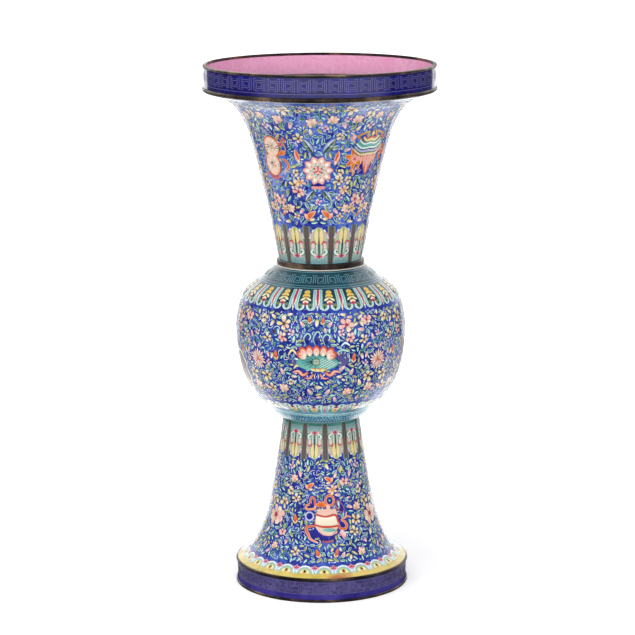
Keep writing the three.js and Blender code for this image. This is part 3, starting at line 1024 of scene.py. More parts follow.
@drawn
def vaseMotif(motif):
    for x, y, length, width, turn in ((-13.2, 6.4, 9, 5, -12), (3.1, 10, 8.6, 7.4, 0),
            (-12.9, -0.4, 5.4, 4.6, 0), (12.6, -7.4, 6.4, 5, 0), (11.6, 4.2, 9, 4, -16),
            (-9, -15.4, 10, 7, -10)):
        motif.blade(length, width, "cobaltDeep", at=(x, y), turn=turn, tone=(0.4, 1), layer=-0.02,
            rise=0.08)
    motif.panel(16, 6.6, "cobaltDeep", 4, 2, at=(-0.6, -17), tone=(0.2, 1), layer=-0.01, rise=0.08)
    body = lambda up: (0.3 + 0.72 * min(up / 0.34, 1) ** 0.6) * (1 - 0.3 * max(up - 0.55, 0) ** 0.8)
    motif.panel(18.4, 20.6, "petalEdge", 6, 8, at=(0.4, -12.4), outline=body, tone=(0.5, 0.8), rise=0.1)
    motif.panel(17.2, 19.6, "petalCream", 6, 8, at=(0.4, -11.9), outline=body, tone=(0.2, 0.7), layer=0.12,
        rise=0.08)
    motif.panel(15.6, 8.0, "cream", 6, 3, at=(0.2, -4.6), tone=(0.5, 0.95), layer=0.2, rise=0.06)
    motif.blade(10, 2.8, "leafTeal", at=(7.0, -8.4), turn=88, tone=(0.4, 1), layer=0.24, lean=(0.5, 0.5),
        rise=0.08)
    motif.stroke(smoothLine([(-6.6, -6.4), (-2.8, -11), (2.8, -12.2), (7.8, -9.6)], 7), 0.8, "petalCream",
        tone=(1, 1), layer=0.26, rise=0.08)
    for points in ([(-8.4, 4.0), (-4, 2.6), (1, 2.2), (6.6, 3.3), (8.4, 1.2), (9.2, -2.6)],
            [(-8.8, -4.0), (-4, -5.4), (2, -5.8), (8.9, -5.2)]):
        motif.stroke(smoothLine(points, 10), (1.3, 1.6, 1.4), "flame", tone=(0.1, 0.0), rim=("rose", 0.3),
            layer=0.3, rise=0.1)
    motif.stroke([(-3.4, -16.6), (0, -17.2), (4.6, -16.4)], 1.6, "petalEdge", layer=0.1, claim=True)
    for turn in (-70, -25, 20, 65):
        motif.blade(4.6, 3.0, "flame", at=(-4.0, 9.8), turn=turn, tone=(0, 0.6), layer=0.3,
            rim=("peach", 0.3))
    motif.blade(4.4, 3.6, "petalCream", at=(2.4, 7.2), turn=20, layer=0.26, tone=(0.4, 1))
    ribbon(motif, [(-8.6, 10.4), (-9.4, 15.6), (-11.6, 16.6), (-12.8, 14.2), (-12.4, 11.9), (-15.9, 10),
        (-15.3, 7.5), (-9.2, 8.1), (-8.6, 10.0)], (1.6, 1.7, 1.6), "orange", "peach")
    turns = np.linspace(0.2, fullTurn + 0.2, 15)
    motif.stroke(arc((3.1, 14.2), 3.5, 3.9, turns), 1.9, "orange", tone=(0.4, 0.4), rim=("peach", 0.4),
        layer=0.06, claim=True)
    motif.dot((3.1, 14.2), 1.0, "leafTeal", layer=0.1)
    motif.stroke(arc((-12.8, 2.2), 3.1, 3.1, turns), 1.1, "lilac", tone=(0.6, 0.9), layer=0.06, claim=True)
    ribbon(motif, [(-8.8, -5), (-12.8, -5.6), (-15, -7.4), (-12.8, -11.9), (-11.2, -15), (-5.9, -17.8)],
        (1.6, 2.2, 1.0), "orange", "peach")
    ribbon(motif, [(9.0, -2.5), (10.3, -7.3), (14, -8.1), (15.6, -5.4), (14, -2.5), (12.2, -1.2),
        (15.3, 0.8), (16.6, 4.4)], (1.6, 2.2, 0.8), "orange", "peach")
    ribbon(motif, [(15.2, 0.5), (17.6, 1.0), (20.3, -0.3)], (1.2, 1.4, 0.5), "orange", "peach")
    motif.stroke(smoothLine([(7.8, 10.6), (9.7, 14.4), (12.8, 11.2), (15, 6.9), (12.8, 4.4), (9.7, 6.9),
        (7.9, 10.4)], 14), 0.8, "petalEdge", tone=(0.6, 1), layer=0.06, claim=True)
    for x, y in ((11.2, -11.6), (12.6, -13.4)):
        motif.blade(5, 3.4, "blush", at=(x - 1, y - 1.6), turn=-20, layer=0.04)


@drawn
def fishMotif(motif):
    for x, y, size, stretch in ((1.2, 7.8, 7.6, 1.1), (-0.6, -6.2, 7.6, 1.25)):
        for ink, tone, reach, layer in (("leafLime", 0.7, size + 1.3, 0.0),
                ("cobaltDeep", 0.6, size + 0.9, 0.04), ("orange", 0.5, size + 0.3, 0.08),
                ("peach", 0.85, size - 0.7, 0.14)):
            motif.blade(2 * reach * stretch, 2 * reach, ink, at=(x, y - reach * stretch), lean=(0.5, 0.5),
                sides=22, tone=(tone, tone), layer=layer, rise=0.06)
        petals(motif, 18, size * 0.46, size * 0.2, ("cream", "blush"), 10, size * 0.46, (x, y), sides=6,
            tone=(0.9, 0.7), layer=0.22, rise=0.06)
        petals(motif, 9, size * 0.36, size * 0.2, ("fishScale", "cream"), 0, size * 0.2, (x, y), sides=6,
            tone=(0.2, 0.9), layer=0.28, rise=0.06)
        motif.dot((x, y), size * 0.2, "fishScale", sides=9, tone=0.5, layer=0.34, rise=0.06,
            rim=("rose", 0.3))
    motif.dot((-1.2, -4.9), 0.9, "stemDark", layer=0.44, rise=0.08)
    motif.dot((2.0, 8.8), 0.6, "veinGreen", layer=0.44, rise=0.08)
    for x, y, turn, length, width, ink in ((7.4, 2.0, -64, 7.0, 4.4, "flame"),
            (8.6, 8.4, -40, 6.4, 3.6, "rose"), (7.2, 13.6, -30, 6.0, 2.6, "leafLime"),
            (-8.4, -13.4, 116, 5.0, 3.0, "rose")):
        motif.blade(length, width, ink, at=(x, y), turn=turn, tone=(0.1, 0.8), rim=("peach", 0.4),
            layer=0.02)
    ribbon(motif, [(9.6, -1.4), (13.4, -3.4), (14.4, -7.4), (11.6, -10.2), (9.8, -13.4)], (1.6, 2.6, 1.0),
        "orange", "butter")
    ribbon(motif, [(9.8, -6), (12.0, -8), (8.6, -11.6), (4.4, -14.6)], (1.2, 1.8, 0.8), "lilac", "skyBlue")
    for lift, ink, edge in ((-15.6, "petalEdge", "rose"), (-17.4, "rose", "orange")):
        ribbon(motif, [(-7, lift + 2), (-1, lift), (6.4, lift + 2.2)], (0.8, 1.7, 0.9), ink, edge)
    ribbon(motif, [(8.6, 16.4), (11.8, 12.4), (13.8, 7.0), (12.6, 3.4)], (0.9, 1.7, 0.8), "leafLime",
        "petalEdge")


def flameFlower(motif, x, y, size, turns):
    for i, turn in enumerate(turns):
        motif.blade(size, size * 0.5, ("orange", "flame")[i % 2], at=(x, y), turn=turn, lean=(0.7, 0.7),
            sides=8, tone=(0.9, 0.2), rim=("butter", 0.35), layer=0.03 * (i % 3))
        motif.blade(size * 0.55, size * 0.17, "petalCream", at=(x, y), turn=turn, tone=(0.9, 1), layer=0.2,
            rise=0.06)
    motif.dot((x, y), size * 0.17, "magenta", tone=0.4, layer=0.24, rise=0.1)


@drawn
def canopyMotif(motif):
    for side in (-1, 1):
        motif.blade(17, 10, "cobaltDeep", at=(side * 8, -1), turn=180 - side * 14, layer=-0.02, rise=0.08)
    arcs = (("petalEdge", 0.0, 14.6, 1.0), ("butter", 0.9, 14.4, 1.2), ("veinGreen", 2.0, 14, 1.1),
        ("lilac", 3.1, 13.6, 1.3), ("stemDark", 4.1, 13, 0.7), ("frost", 5.0, 12.4, 1.4),
        ("leafTeal", 6.4, 11.6, 1.9), ("frost", 7.9, 10.2, 1.2), ("veinGreen", 9.0, 8.8, 1.0),
        ("butter", 10.2, 7.4, 1.7), ("orange", 11.6, 5.4, 1.1))
    for i, (ink, lift, span, width) in enumerate(arcs):
        path = [(x * span, 2.2 + lift - (5.6 - 0.3 * i) * (1 - x * x) + 0.9 * math.cos(5 * x))
            for x in np.linspace(-1, 1, 11)]
        motif.stroke(path, (width, width * 1.25, width), ink, tone=(0.4, 0.9), layer=0.2 + 0.012 * i,
            rise=0.1, claim=True)
    for x, length, width, layer in ((-6.0, 12.6, 7.6, 0.0), (6.2, 13.0, 7.6, 0.0), (0.4, 19.6, 10.0, 0.06)):
        motif.blade(length, width, "orange", at=(x, 1.2), turn=180, lean=(0.4, 0.9), sides=12,
            tone=(0.8, 0.2), layer=layer, rise=0.12, rim=("flame", 0.5))
        for step, ink, tone in ((-0.24, "blush", 0.5), (0.24, "peach", 0.6), (0.0, "petalCream", 1.0)):
            motif.blade(length * (0.86 - abs(step)), width * 0.3, ink, at=(x + width * step, 0.2),
                turn=180 + step * 14, tone=(tone, tone - 0.3), layer=layer + 0.14, rise=0.06)
    flameFlower(motif, -12.2, -4.4, 8.8, (20, 72, 128, 170, -60, -130))
    flameFlower(motif, 13.4, -0.4, 8.2, (0, -46, -104, -160, 40))
    flameFlower(motif, -11.4, -13.0, 5.0, (100, 170, -60))
    for motif.side in (-1, 1):
        ribbon(motif, [(12.8, 7.4), (9.4, 10.6), (12.4, 13.0), (7.8, 15.6), (3.4, 16.6), (4.6, 12.8)],
            (1, 1.8, 1.2), "flame", "leafLime")
        ribbon(motif, [(13.8, 8.4), (17.2, 11.2), (15.6, 14.6), (18.4, 16.8)], (0.8, 1.8, 0.8), "orange",
            "butter")
        ribbon(motif, [(4.4, -13.4), (7.6, -15.8), (6.8, -11), (9.8, -7.6)], (0.8, 1.6, 0.8), "petalEdge",
            "lilac")
    motif.blade(5.0, 3.4, "butter", at=(0.4, 12.6), lean=(0.5, 0.8), tone=(0.3, 1), layer=0.3,
        rim=("orange", 0.4))


@drawn
def wheelMotif(motif):
    rings = ((10.2, 2.4, "peach", "orange"), (6.6, 1.2, "butter", None), (2.6, 1.6, "leafAqua", None))
    for radius, width, ink, rim in rings:
        path = arc((0, 0), radius, radius, np.linspace(0, fullTurn, 29) + fullTurn / 4)
        motif.stroke(path, width, ink, tone=(0.6, 0.6), rim=rim and (rim, 0.45), layer=0.06, claim=True)
    motif.dot((0, 0), 9.6, "leafTeal", sides=24, tone=0.35, rise=0.08)
    petals(motif, 8, 8.4, 2.0, ["cream"], layer=0.08, lean=(0.5, 0.5))
    for i in range(8):
        motif.dot(spoke(45 * i + 22, 10.2), 0.8, "rose", layer=0.2, rise=0.1)
    motif.dot((0, 0), 1.7, "rose", sides=10, layer=0.22, rise=0.1)
    for motif.side in (-1, 1):
        ribbon(motif, [(5, -10), (9.6, -13.4), (13, -10), (15.6, -12.4)])
        ribbon(motif, [(8, 7.6), (13, 10.4), (14.6, 6), (12.4, 2.6)], (1, 2, 0.8))
        ribbon(motif, [(2, 11.6), (5, 15.4), (9, 13.8)], (1, 1.6, 0.6), "butter", "flame")


# Borders
@drawn
def lappetMotif(motif):
    motif.panel(16.8, 10, "lappetTurquoise", 6, 4, tone=(0.35, 1.0))
    for i in range(7):
        motif.blade(3.4 + i % 3, 1.5, "lappetTurquoise", at=(-6 + 2 * i, 0.2), tone=(0.0, 0.7), layer=0.06,
            rise=0.06)
    point = lambda up: 1.0 if up < 0.7 else max(1.0 - (up - 0.7) * 3.1, 0.02) ** 0.75
    motif.panel(15.2, 22.6, "lilac", 4, 8, at=(0, 6.0), outline=point, tone=(1, 1), layer=0.06, rise=0.06)
    motif.panel(14.2, 21.8, "lappetCream", 4, 8, at=(0, 6.2), outline=point, tone=(0.0, 1), layer=0.1,
        rise=0.06)
    for motif.side in (-1, 1):
        motif.blade(13.6, 4.2, "butter", at=(0.9, 14.6), turn=-9, bend=-2.2, lean=(0.7, 0.6),
            tone=(0.35, 0.6), rim=("veinGreen", 0.2), layer=0.18, sides=10, rise=0.1)
        for x, ink, tone in ((2.5, "veinGreen", 0.8), (4.5, "blush", 0.9), (5.9, "veinGreen", 1.0),
                (6.7, "petalEdge", 0.9)):
            motif.stroke([(x, 8.4), (x + 0.3, 13), (x, 19.4 - x * 0.3)], (0.2, 0.45, 0.2), ink,
                tone=(tone, tone), layer=0.16, rise=0.06)
        motif.stroke([(2.2, 15.4), (2.6, 16.6), (3.8, 17.3), (5.1, 16.6), (5.3, 15.6)], (0.7, 1.5, 0.6),
            "rose", tone=(0.2, 0.6), layer=0.24, rise=0.1)
        motif.blade(5.2, 1.5, "blush", at=(3.8, 16.8), turn=180, tone=(0.4, 1.0), layer=0.22, rise=0.08)
        motif.stroke([(1.5, 8), (1.6, 15.0)], 0.6, "frost", tone=(0.6, 0.6), layer=0.2, rise=0.1)
        motif.stroke(smoothLine([(2.6, 6.8), (4.6, 7.6), (5.4, 9.6), (4.3, 10.9), (3.4, 9.7)], 9),
            (0.6, 1.3, 0.8), "frost", tone=(1, 0.3), layer=0.2)
        motif.dot((4.0, 9.4), 0.6, "leafDeep", layer=0.28, rise=0.06)
        motif.stroke(smoothLine([(3.2, 5.8), (6, 7.0), (6.8, 9.6), (6.2, 12)], 6), 0.4, "leafDeep",
            tone=(0.6, 1), layer=0.2)
        motif.blade(4.8, 2.6, "blush", at=(0, 4.9), turn=-66, lean=(0.7, 0.5), layer=0.14, rise=0.1)
        motif.blade(3.2, 1.5, "rose", at=(0, 5.0), turn=-66, tone=(0.2, 0.8), layer=0.22, rise=0.1)
        for height, reach, ink in ((19.4, 6.6, "blush"), (21.2, 6.3, "lilac"), (23.0, 5.4, "rose"),
                (24.6, 4.6, "frost")):
            motif.blade(2.8, 1.0, ink, at=(reach, height), turn=24, tone=(0.4, 1), layer=0.2, rise=0.08)
    motif.blade(3.4, 2.4, "crimson", at=(0, 3.9), tone=(0.9, 0.6), layer=0.26, rise=0.1)
    motif.stroke([(0, 6.6), (0, 12), (0, 18), (0, 26.4)], (1.0, 1.5, 0.6), "veinGreen", tone=(0.2, 0.7),
        layer=0.24, rise=0.1)
    motif.stroke([(0, 7.6), (0, 14), (0, 22)], (0.4, 0.7, 0.3), "stemDark", tone=(0.9, 0.9), layer=0.34,
        rise=0.06)
    motif.blade(4.6, 2.0, "leafLime", at=(0, 24.4), tone=(0.1, 0.7), layer=0.26, rise=0.1)


@drawn
def stripeMotif(motif):
    motif.panel(5.0, 29.6, "veinGreen", 2, 9, at=(0, -0.4), tone=(0.8, 1), layer=0.08, rise=0.06)
    motif.panel(3.9, 29.5, "veinGreen", 2, 9, at=(0, -0.4), tone=(0.2, 0.4), layer=0.14, rise=0.06)
    motif.panel(2.6, 29.4, "brownViolet", 2, 9, at=(0, -0.4), tone=(0.4, 0.8), layer=0.2, rise=0.06)
    motif.stroke([(0, 1.0), (0, 10), (0, 19), (0, 27)], (0.8, 1.3, 0.8), "brownViolet", tone=(0.9, 1),
        layer=0.22, rise=0.06)


@drawn
def lobeMotif(motif, pitch, height, ground, dark="leafDeep", hollow="veinGreen"):
    # one lappet: two hooked lobes with a yellow flower hanging between them
    motif.panel(pitch * 0.96, height * 0.7, ground, 6, 5, tone=(0.1, 0.7), rise=0.06)
    for motif.side in (-1, 1):
        bend, arm, low = pitch * 0.145, pitch * 0.365, height - pitch * 0.145 - 0.9
        centre = arm - bend
        motif.dot((centre, low), bend + 0.4, hollow, sides=14, tone=0.5, layer=0.04, rise=0.06)
        bow = arc((centre, low), bend, bend, np.linspace(0, math.pi, 7))
        shaft = [(arm, 0.3 + (low - 1.6) * k / 5) for k in range(6)]
        motif.stroke([*shaft, *bow, (centre - bend, low - 1.4)], (2.1, 1.6, 1.1), "leafAqua",
            tone=(0.1, 0.7), rim=("frost", 0.38), layer=0.2, rise=0.1)
        motif.blade(height * 0.72, 1.7, dark, at=(pitch * 0.205, 0.2), lean=(0.2, 0.5), tone=(0, 0.5),
            layer=0.12, rise=0.06)
        motif.blade(height * 0.2, 1.3, "leafDeep", at=(centre, low - 0.8), tone=(0.2, 0.9), layer=0.12)
        for share, length, reach in ((0.04, 0.2, 24), (0.22, 0.22, 32), (0.42, 0.24, 44)):
            motif.blade(height * length, 1.9, ("yellow", "butter")[share > 0.3], at=(0.15, height * share),
                turn=-reach, layer=0.2 + share * 0.1, tone=(0.2, 1), rise=0.1)
    motif.blade(height * 0.5, 1.5, "yellow", at=(0, 0.4), layer=0.28, tone=(0.1, 0.8), lean=(0.5, 0.5),
        rise=0.08)
    for share, ink in ((0.2, "flame"), (0.4, "orange"), (0.52, "leafGreen")):
        motif.dot((0, height * share), 0.6, ink, tone=0.3, layer=0.36, rise=0.08)
    motif.dot((0, height * 0.66), pitch * 0.125, "flame", tone=0.6, sides=10, layer=0.3, rise=0.1)
    motif.stroke([(-pitch * 0.11, height * 0.66), (0, height * 0.6), (pitch * 0.11, height * 0.66)], 0.8,
        "cream", tone=(1, 1), layer=0.4, rise=0.08)
    motif.dot((0, height * 0.73), pitch * 0.075, "rose", tone=0.1, sides=8, layer=0.4, rise=0.1)


@drawn
def barMotif(motif, height, ink="crimson"):
    for share, width, shade, tone in ((1, 3.0, "frost", 0.5), (0.95, 2.4, "petalCream", 0.9),
            (0.82, 1.8, ink, 0.6)):
        motif.stroke([(0, 0.2 + height * share * k / 7) for k in range(8)], (width * 0.9, width, 0.3),
            shade, tone=(tone, min(tone * 1.4, 1)), layer=0.5 - share * 0.3, rise=0.06)


@drawn
def scallopMotif(motif, pitch):
    for reach, lift, width, ink, tone in ((0.45, 6.2, 1.0, "frost", 0.9), (0.385, 5.3, 0.7, "lilac", 0.7),
            (0.33, 4.6, 0.9, "leafTeal", 0.9), (0.265, 3.7, 0.9, "leafLime", 0.9)):
        path = arc((0, 0.2), pitch * reach, lift, np.linspace(-0.12, math.pi + 0.12, 9))
        motif.stroke(path, width, ink, tone=(tone, tone), layer=0.08)
    motif.panel(pitch * 0.56, 3.4, "butter", 3, 2, at=(0, -0.4), tone=(0.6, 1), layer=0.04)
    motif.dot((0, 1.5), 1.7, "yellow", tone=0.3, sides=10, layer=0.1)
    motif.blade(2.8, 1.9, "chipDark", at=(0, 0.2), tone=(0.2, 0.6), layer=0.24, rise=0.1)
    for motif.side in (-1, 1):
        motif.dot((pitch * 0.5, 0.6), 1.5, "frost", tone=0.7, sides=8, layer=0.12)
        motif.dot((pitch * 0.5, 0.3), 0.7, "leafTeal", tone=0.6, layer=0.24, rise=0.08)


@drawn
def capMotif(motif):
    for side in (-1, 0, 1):
        motif.blade(3.6 if side else 3.0, 2.6, "blush", at=(0, 3.6), turn=-side * 74, layer=0.16,
            tone=(0.0, 0.5))
        motif.blade(2.6, 1.5, "rose", at=(0, 3.8), turn=-side * 74, layer=0.28, tone=(0.0, 0.8), rise=0.1)
    motif.blade(3.0, 2.2, "lilac", at=(0, 3.4), turn=180, layer=0.14, tone=(0.6, 1))


@drawn
def fretMotif(motif, width, height, pitch, line, ink, tone=0.6):
    x, y = width / 2, height / 2
    path, inset = [(-x, -y)], 0.0
    while min(x, y) - inset > pitch * 0.8:
        path += [(-x + inset, y - inset), (x - inset, y - inset), (x - inset, -y + inset),
            (-x + inset + pitch, -y + inset)]
        inset += pitch
    motif.stroke(path, line, ink, tone=(tone, tone), layer=0.02, rise=0.08)


def ring(field, along, width, ink, tone, parts=12):
    # a painted line all the way round, laid in equal lengths
    motif = Motif()
    length = fullTurn * field.radius(along) / parts
    motif.panel(length, width, ink, 6, 1, at=(0, -width / 2), tone=(tone, tone), layer=0.02, rise=0.08)
    for i in range(parts):
        field.put(motif, 360 / parts * i, along, claim=False)


def row(field, motif, count, offset, along, turn=0, size=1.0, alternate=False):
    for i in range(count):
        field.put(motif, offset + 360 / count * i, along, turn, size, mirror=alternate and i % 2 == 1)


def scatter(field, repeats, placings):
    # each placing is an angle, millimetres up, the motif, its turn and size, and perhaps True for mirrored
    for k in range(repeats):
        for angle, along, motif, turn, size, *mirror in placings:
            field.put(motif, angle + 360 / repeats * k, along, turn, size, bool(mirror))


# Paintings
shades = [dabMotif("cobaltDeep", 7.5, 4.2), dabMotif("cobaltDeep", 5.0, 3.4)]
fan, peachFan, tulip = fanMotif(), fanMotif("peach", "cream"), tulipMotif()
lotus, vase, wheel, canopy = lotusMotif(), vaseMotif(), wheelMotif(), canopyMotif()
lappet, stripe = lappetMotif(), stripeMotif()


def paintGround(field, low, high, axis, repeats, seed, share=1.0, grow=1.0):
    # darker shades, then ever smaller motifs in what is left free
    mirrored = dict(axis=axis, repeats=repeats)
    dice = random.Random(seed)
    for _ in range(int(240 * share)):
        spot = (dice.choice(shades), dice.uniform(0, 360), dice.uniform(low, high), dice.uniform(0, 360),
            dice.uniform(0.6, 1.2), False)
        if field.free(spot, 0, low, high):
            field.put(*spot, claim=False, layer=-0.03)
    for i, (motifs, tries, gap, least, most, rules) in enumerate(((smalls, 60, 0.3, 0.9, 1.15, mirrored),
            (sprigs, 1400, 0.1, 0.8, 1.05, mirrored), (leaves + smalls, 2200, 0.1, 0.75, 1.1, mirrored),
            (leaves + lines + curls, 8000, 0.1, 0.65, 1.0, {}),
            (slimLeaves + lines, 12000, 0.1, 0.6, 1.0, {}), (dabs, 12000, 0.1, 0.7, 1.1, {}))):
        edge = 1 if i < 2 else 0
        field.fill(motifs, low + edge, high - edge, int(tries * share), seed + i, gap,
            (least * grow, most * grow), **rules)


leafV, redSpray = leafVMotif(), redSprayMotif()
trumpetPainting = dict(lappets=12, axis=-1.9, low=30.5, high=137.6, emblems=[
    (-45.8, 83.6, fishMotif(), 0, 1), (45.3, 86.9, canopy, 0, 1), (134.5, 84.5, wheel, 0, 1),
    (-135.5, 84.5, vase, 0, 1)],
    quarter=[(-1.9, 74.2, daisyMotif(), 0, 1), (-5.8, 88, leafV, 36, 1),
        (2.5, 88, leafV, -42, 1.1, True), (-5.8, 58.5, leafV, 146, 0.85),
        (2.5, 58.5, leafV, -146, 0.85, True), (-1.9, 60.7, barBudMotif(), 0, 1),
        (-19.8, 84.7, redSpray, 12, 1), (14.6, 83.6, redSpray, -12, 1, True),
        (-7.1, 104.7, creamBud, 10, 1), (-30.6, 115.9, fan, 14, 1.05), (-5.8, 113.6, fan, 24, 1.05),
        (9.4, 115.9, fan, -20, 1.05), (27.4, 115.9, fan, -10, 1.05),
        (-19.2, 64.8, roundBlossom, -19.2, 0.95), (-25.6, 62.2, creamBlossom, -25.6, 0.95),
        (17.7, 65.8, creamBlossom, 17.7, 0.95), (27.0, 66.4, butterBlossom, 27.0, 0.95),
        (23.6, 58.6, roundBlossom, 23.6, 0.95), (-21.8, 57, peachBlossom, -21.8, 0.95),
        (-10.6, 39.1, tulip, 22, 1), (6.7, 39.7, tulip, -22, 1, True), (-1.9, 49.1, littlePink, 0, 1),
        (-43.5, 49.5, peachBlossom, -43.5 * 3, 0.9), (-40.6, 42.5, roundBlossom, -40.6 * 3, 0.9),
        (-32.6, 43.4, fan, -32.6 * 3, 0.8), (27.4, 43.6, fan, 27.4 * 3, 0.8),
        (35.4, 43.4, roundBlossom, 35.4 * 3, 0.9), (38.2, 50.4, peachBlossom, 38.2 * 3, 0.9),
        (21.8, 37.6, starBlossom, 21.8 * 3, 0.9), (-26.4, 37.5, starBlossom, -26.4 * 3, 0.9),
        (45.8, 38.6, redBud, 45.8 * 3, 0.8), (-29.9, 97.5, redBud, 30, 0.8),
        (27.5, 98.5, pinkBud, -30, 1.1), (-17, 99.5, creamBlossom, 0, 0.9),
        (15.5, 101.5, butterBlossom, 0, 0.9), (45, 118.5, peachFan, 6, 0.9)])


def paintTrumpet(values):
    field = Field("trumpetPainting", outline(trumpetShell, 256), "painted_enamel")
    row(field, lappet, values["lappets"], -1.75, 0.4)
    row(field, stripe, values["lappets"], 13.25, 0.6)
    scatter(field, 1, values["emblems"])
    scatter(field, 4, values["quarter"])
    for drop, ink in ((0.9, "frost"), (1.7, "leafAqua")):
        ring(field, field.run[-1] - drop, 0.5, ink, 0.8, parts=24)
    paintGround(field, values["low"], values["high"], values["axis"], 4, 11, 1.0, 1.14)
    field.finish()


@drawn
def lossMotif(motif):
    # enamel lost down to the copper
    bow = lambda up: max(1 - (2 * up - 1) ** 2, 0.03) ** 0.5 * (0.9 + 0.06 * math.sin(9 * up) + 0.04
        * math.sin(23 * up))
    motif.panel(40.0, 36.0, "frost", 14, 12, at=(0, -18.0), outline=bow, tone=(0.9, 0.9), layer=0.02)
    motif.panel(36.6, 33.2, "bareCopper", 14, 12, at=(0, -16.6), outline=bow, tone=(0.0, 0.6), layer=0.08)
    for i in range(60):
        reach, turn = 15.2 * math.sqrt((i + 0.5) / 60), 2.4 * i
        motif.dot((reach * math.cos(turn), reach * math.sin(turn)), 1.0 + (i % 5) * 0.32, "bareCopper",
            tone=(i % 7) / 7, sides=7, layer=0.17, rise=0.04)


@drawn
def chipMotif(motif):
    motif.dot((0, 0), 1.5, "chipDark", sides=7, tone=0.1, rise=0.08, rim=("petalEdge", 0.3))
    motif.dot((-1.5, 0.5), 0.7, "chipDark", sides=6, tone=0.4, rise=0.08)


bulbPainting = dict(frets=28, upperLobes=20, lowerLobes=18, axis=-3.1, low=15.5, emblems=[
    (-3.1, 53.6, lotus, 0, 1.0), (88, 52, wheel, 0, 1.0), (177, 52, vase, 0, 0.95),
    (-97, 64, canopy, 0, 0.9), (-80.5, 35.4, lossMotif(), 14, 1.04), (-32.8, 74.2, chipMotif(), 0, 1.0)],
    quarter=[(-48.0, 51.4, chrysanthemumMotif(), 0, 0.95), (-25.5, 80.8, creamBlossom, 0, 1.25),
        (17.6, 80.3, peachBlossom, 0, 1.2), (-7.6, 84, redBud, 10, 0.9), (1.4, 83.4, redBud, -14, 0.9),
        (-41.8, 83.6, butterBlossom, 0, 1.1), (32.7, 83, pinkBlossom, 0, 1.0),
        (-31.7, 56.2, redBud, 6, 1.2), (22.6, 54.7, redBud, -6, 1.2), (-28.3, 30.2, fan, 10, 0.95),
        (-8.2, 27.6, pinkBud, 30, 1.1), (4.7, 27.6, pinkBud, -30, 1.1), (19.8, 27.4, peachFan, -6, 0.85),
        (37.2, 30.2, fan, -10, 0.95), (-21.6, 36.2, butterBlossom, 0, 0.8), (-43.2, 29.4, pinkBud, 50, 1.0),
        (51.6, 28.8, creamBlossom, 0, 0.9), (-53.0, 69.5, pinkBud, 20, 1.0),
        (-38, 69, creamBlossom, 0, 0.85), (30, 68.6, creamBlossom, 20, 0.85)])


def paintBulb(values):
    field = Field("bulbPainting", outline(bulbShell, 256), "painted_enamel")
    frets, upper, under = values["frets"], values["upperLobes"], values["lowerLobes"]
    top, lower = field.up(237), field.up(140.6)  # the upper and lower borders' outer edges
    # plain teal shoulder with a painted key fret
    row(field, fretMotif(7.4, 7.0, 1.7, 0.6, "fretTeal"), frets, 0, field.up(243.0), alternate=True)
    for level, width in ((247.4, 0.5), (238.9, 0.5), (237.6, 0.6)):
        ring(field, field.up(level), width, "fretTeal", 0.8)
    pitch = fullTurn * field.radius(top - 0.4) / upper
    row(field, lobeMotif(pitch, 19.0, "tealDeep"), upper, -11.3, top - 0.4, 180)
    row(field, barMotif(18.6), upper, -2.3, top - 0.4, 180)
    pitch = fullTurn * field.radius(lower + 5) / under
    row(field, lobeMotif(pitch, 14.0, "leafAqua", "leafTeal", "frost"), under, -6.5, lower + 0.6)
    row(field, barMotif(13.0, "magenta"), under, 3.5, lower + 0.6)
    field.held[:int(16.0 / field.cell)] = True
    field.held[int((top - 20.4) / field.cell):] = True
    scatter(field, 1, values["emblems"])
    scatter(field, 4, values["quarter"])
    paintGround(field, values["low"], top - 20.2, values["axis"], 4, 31)
    field.finish()


bigBlossom = flowerMotif(8, 18.5, ("petalCream", "cream", "blush"), "crimson", "petalEdge", 9, wide=0.31)
footPainting = dict(lappets=12, scallops=25, axis=4.9, low=13.6, emblems=[(4.9, 47.7, vase, 0, 1),
    (124.9, 47.7, wheel, 0, 1), (-115.1, 47.7, lotus, 0, 1)],
    third=[(-57.4, 46.6, bigBlossom, 0, 1.0), (-13.8, 73.2, tulip, 20, 0.75),
        (8.5, 78.2, tulip, -10, 0.75, True), (28.3, 75.4, pinkBlossom, 0, 0.85),
        (-35.2, 77.6, peachFan, 10, 0.75), (51.4, 77.7, pinkBud, -20, 1.0), (-29.1, 46.6, redBud, 8, 1.2),
        (42.9, 55.4, peachFan, -20, 0.8), (-3.2, 21.4, redBud, 24, 1.1), (12.9, 21.4, redBud, -24, 1.1),
        (-46.9, 24.3, peachFan, 10, 0.7), (-23.5, 22.1, creamBlossom, 0, 0.8), (37.2, 21, fan, -10, 0.8),
        (59.4, 22.2, pinkBud, -30, 1.0), (34.8, 36.6, creamBlossom, 0, 0.9),
        (-30.0, 62.6, creamBlossom, 0, 0.8), (-42.0, 35.4, pinkBlossom, 0, 0.75)])


def paintFoot(values):
    field = Field("footPainting", outline(footShell, 256), "painted_enamel")
    topEnd, lower, scallops = field.run[-1], field.up(21.3), values["scallops"]
    row(field, lappet, values["lappets"], -9.5, topEnd - 2.6, 180, 0.88)
    row(field, stripe, values["lappets"], 5.5, topEnd - 1.4, 180, 0.92)
    pitch = fullTurn * field.radius(field.up(22.5)) / scallops
    row(field, scallopMotif(pitch), scallops, 1.8, lower)
    row(field, capMotif(), scallops, 1.8 + 180 / scallops, field.up(21.6))
    ring(field, field.up(21.2), 0.5, "petalEdge", 0.3, parts=24)
    field.held[:int((lower + 6.4) / field.cell)] = True
    scatter(field, 1, values["emblems"])
    scatter(field, 3, values["third"])
    paintGround(field, values["low"], topEnd - 27.5, values["axis"], 3, 51, 1.1)
    field.finish()


# Each band's shell, count of frets, and their level, height and width
bandFrets = dict(
    mouthFret=(mouthBandShell, 48, 392.4, 8.6, 9.6),
    footFret=(footBandShell, 40, 10.8, 6.4, 8.6),
)


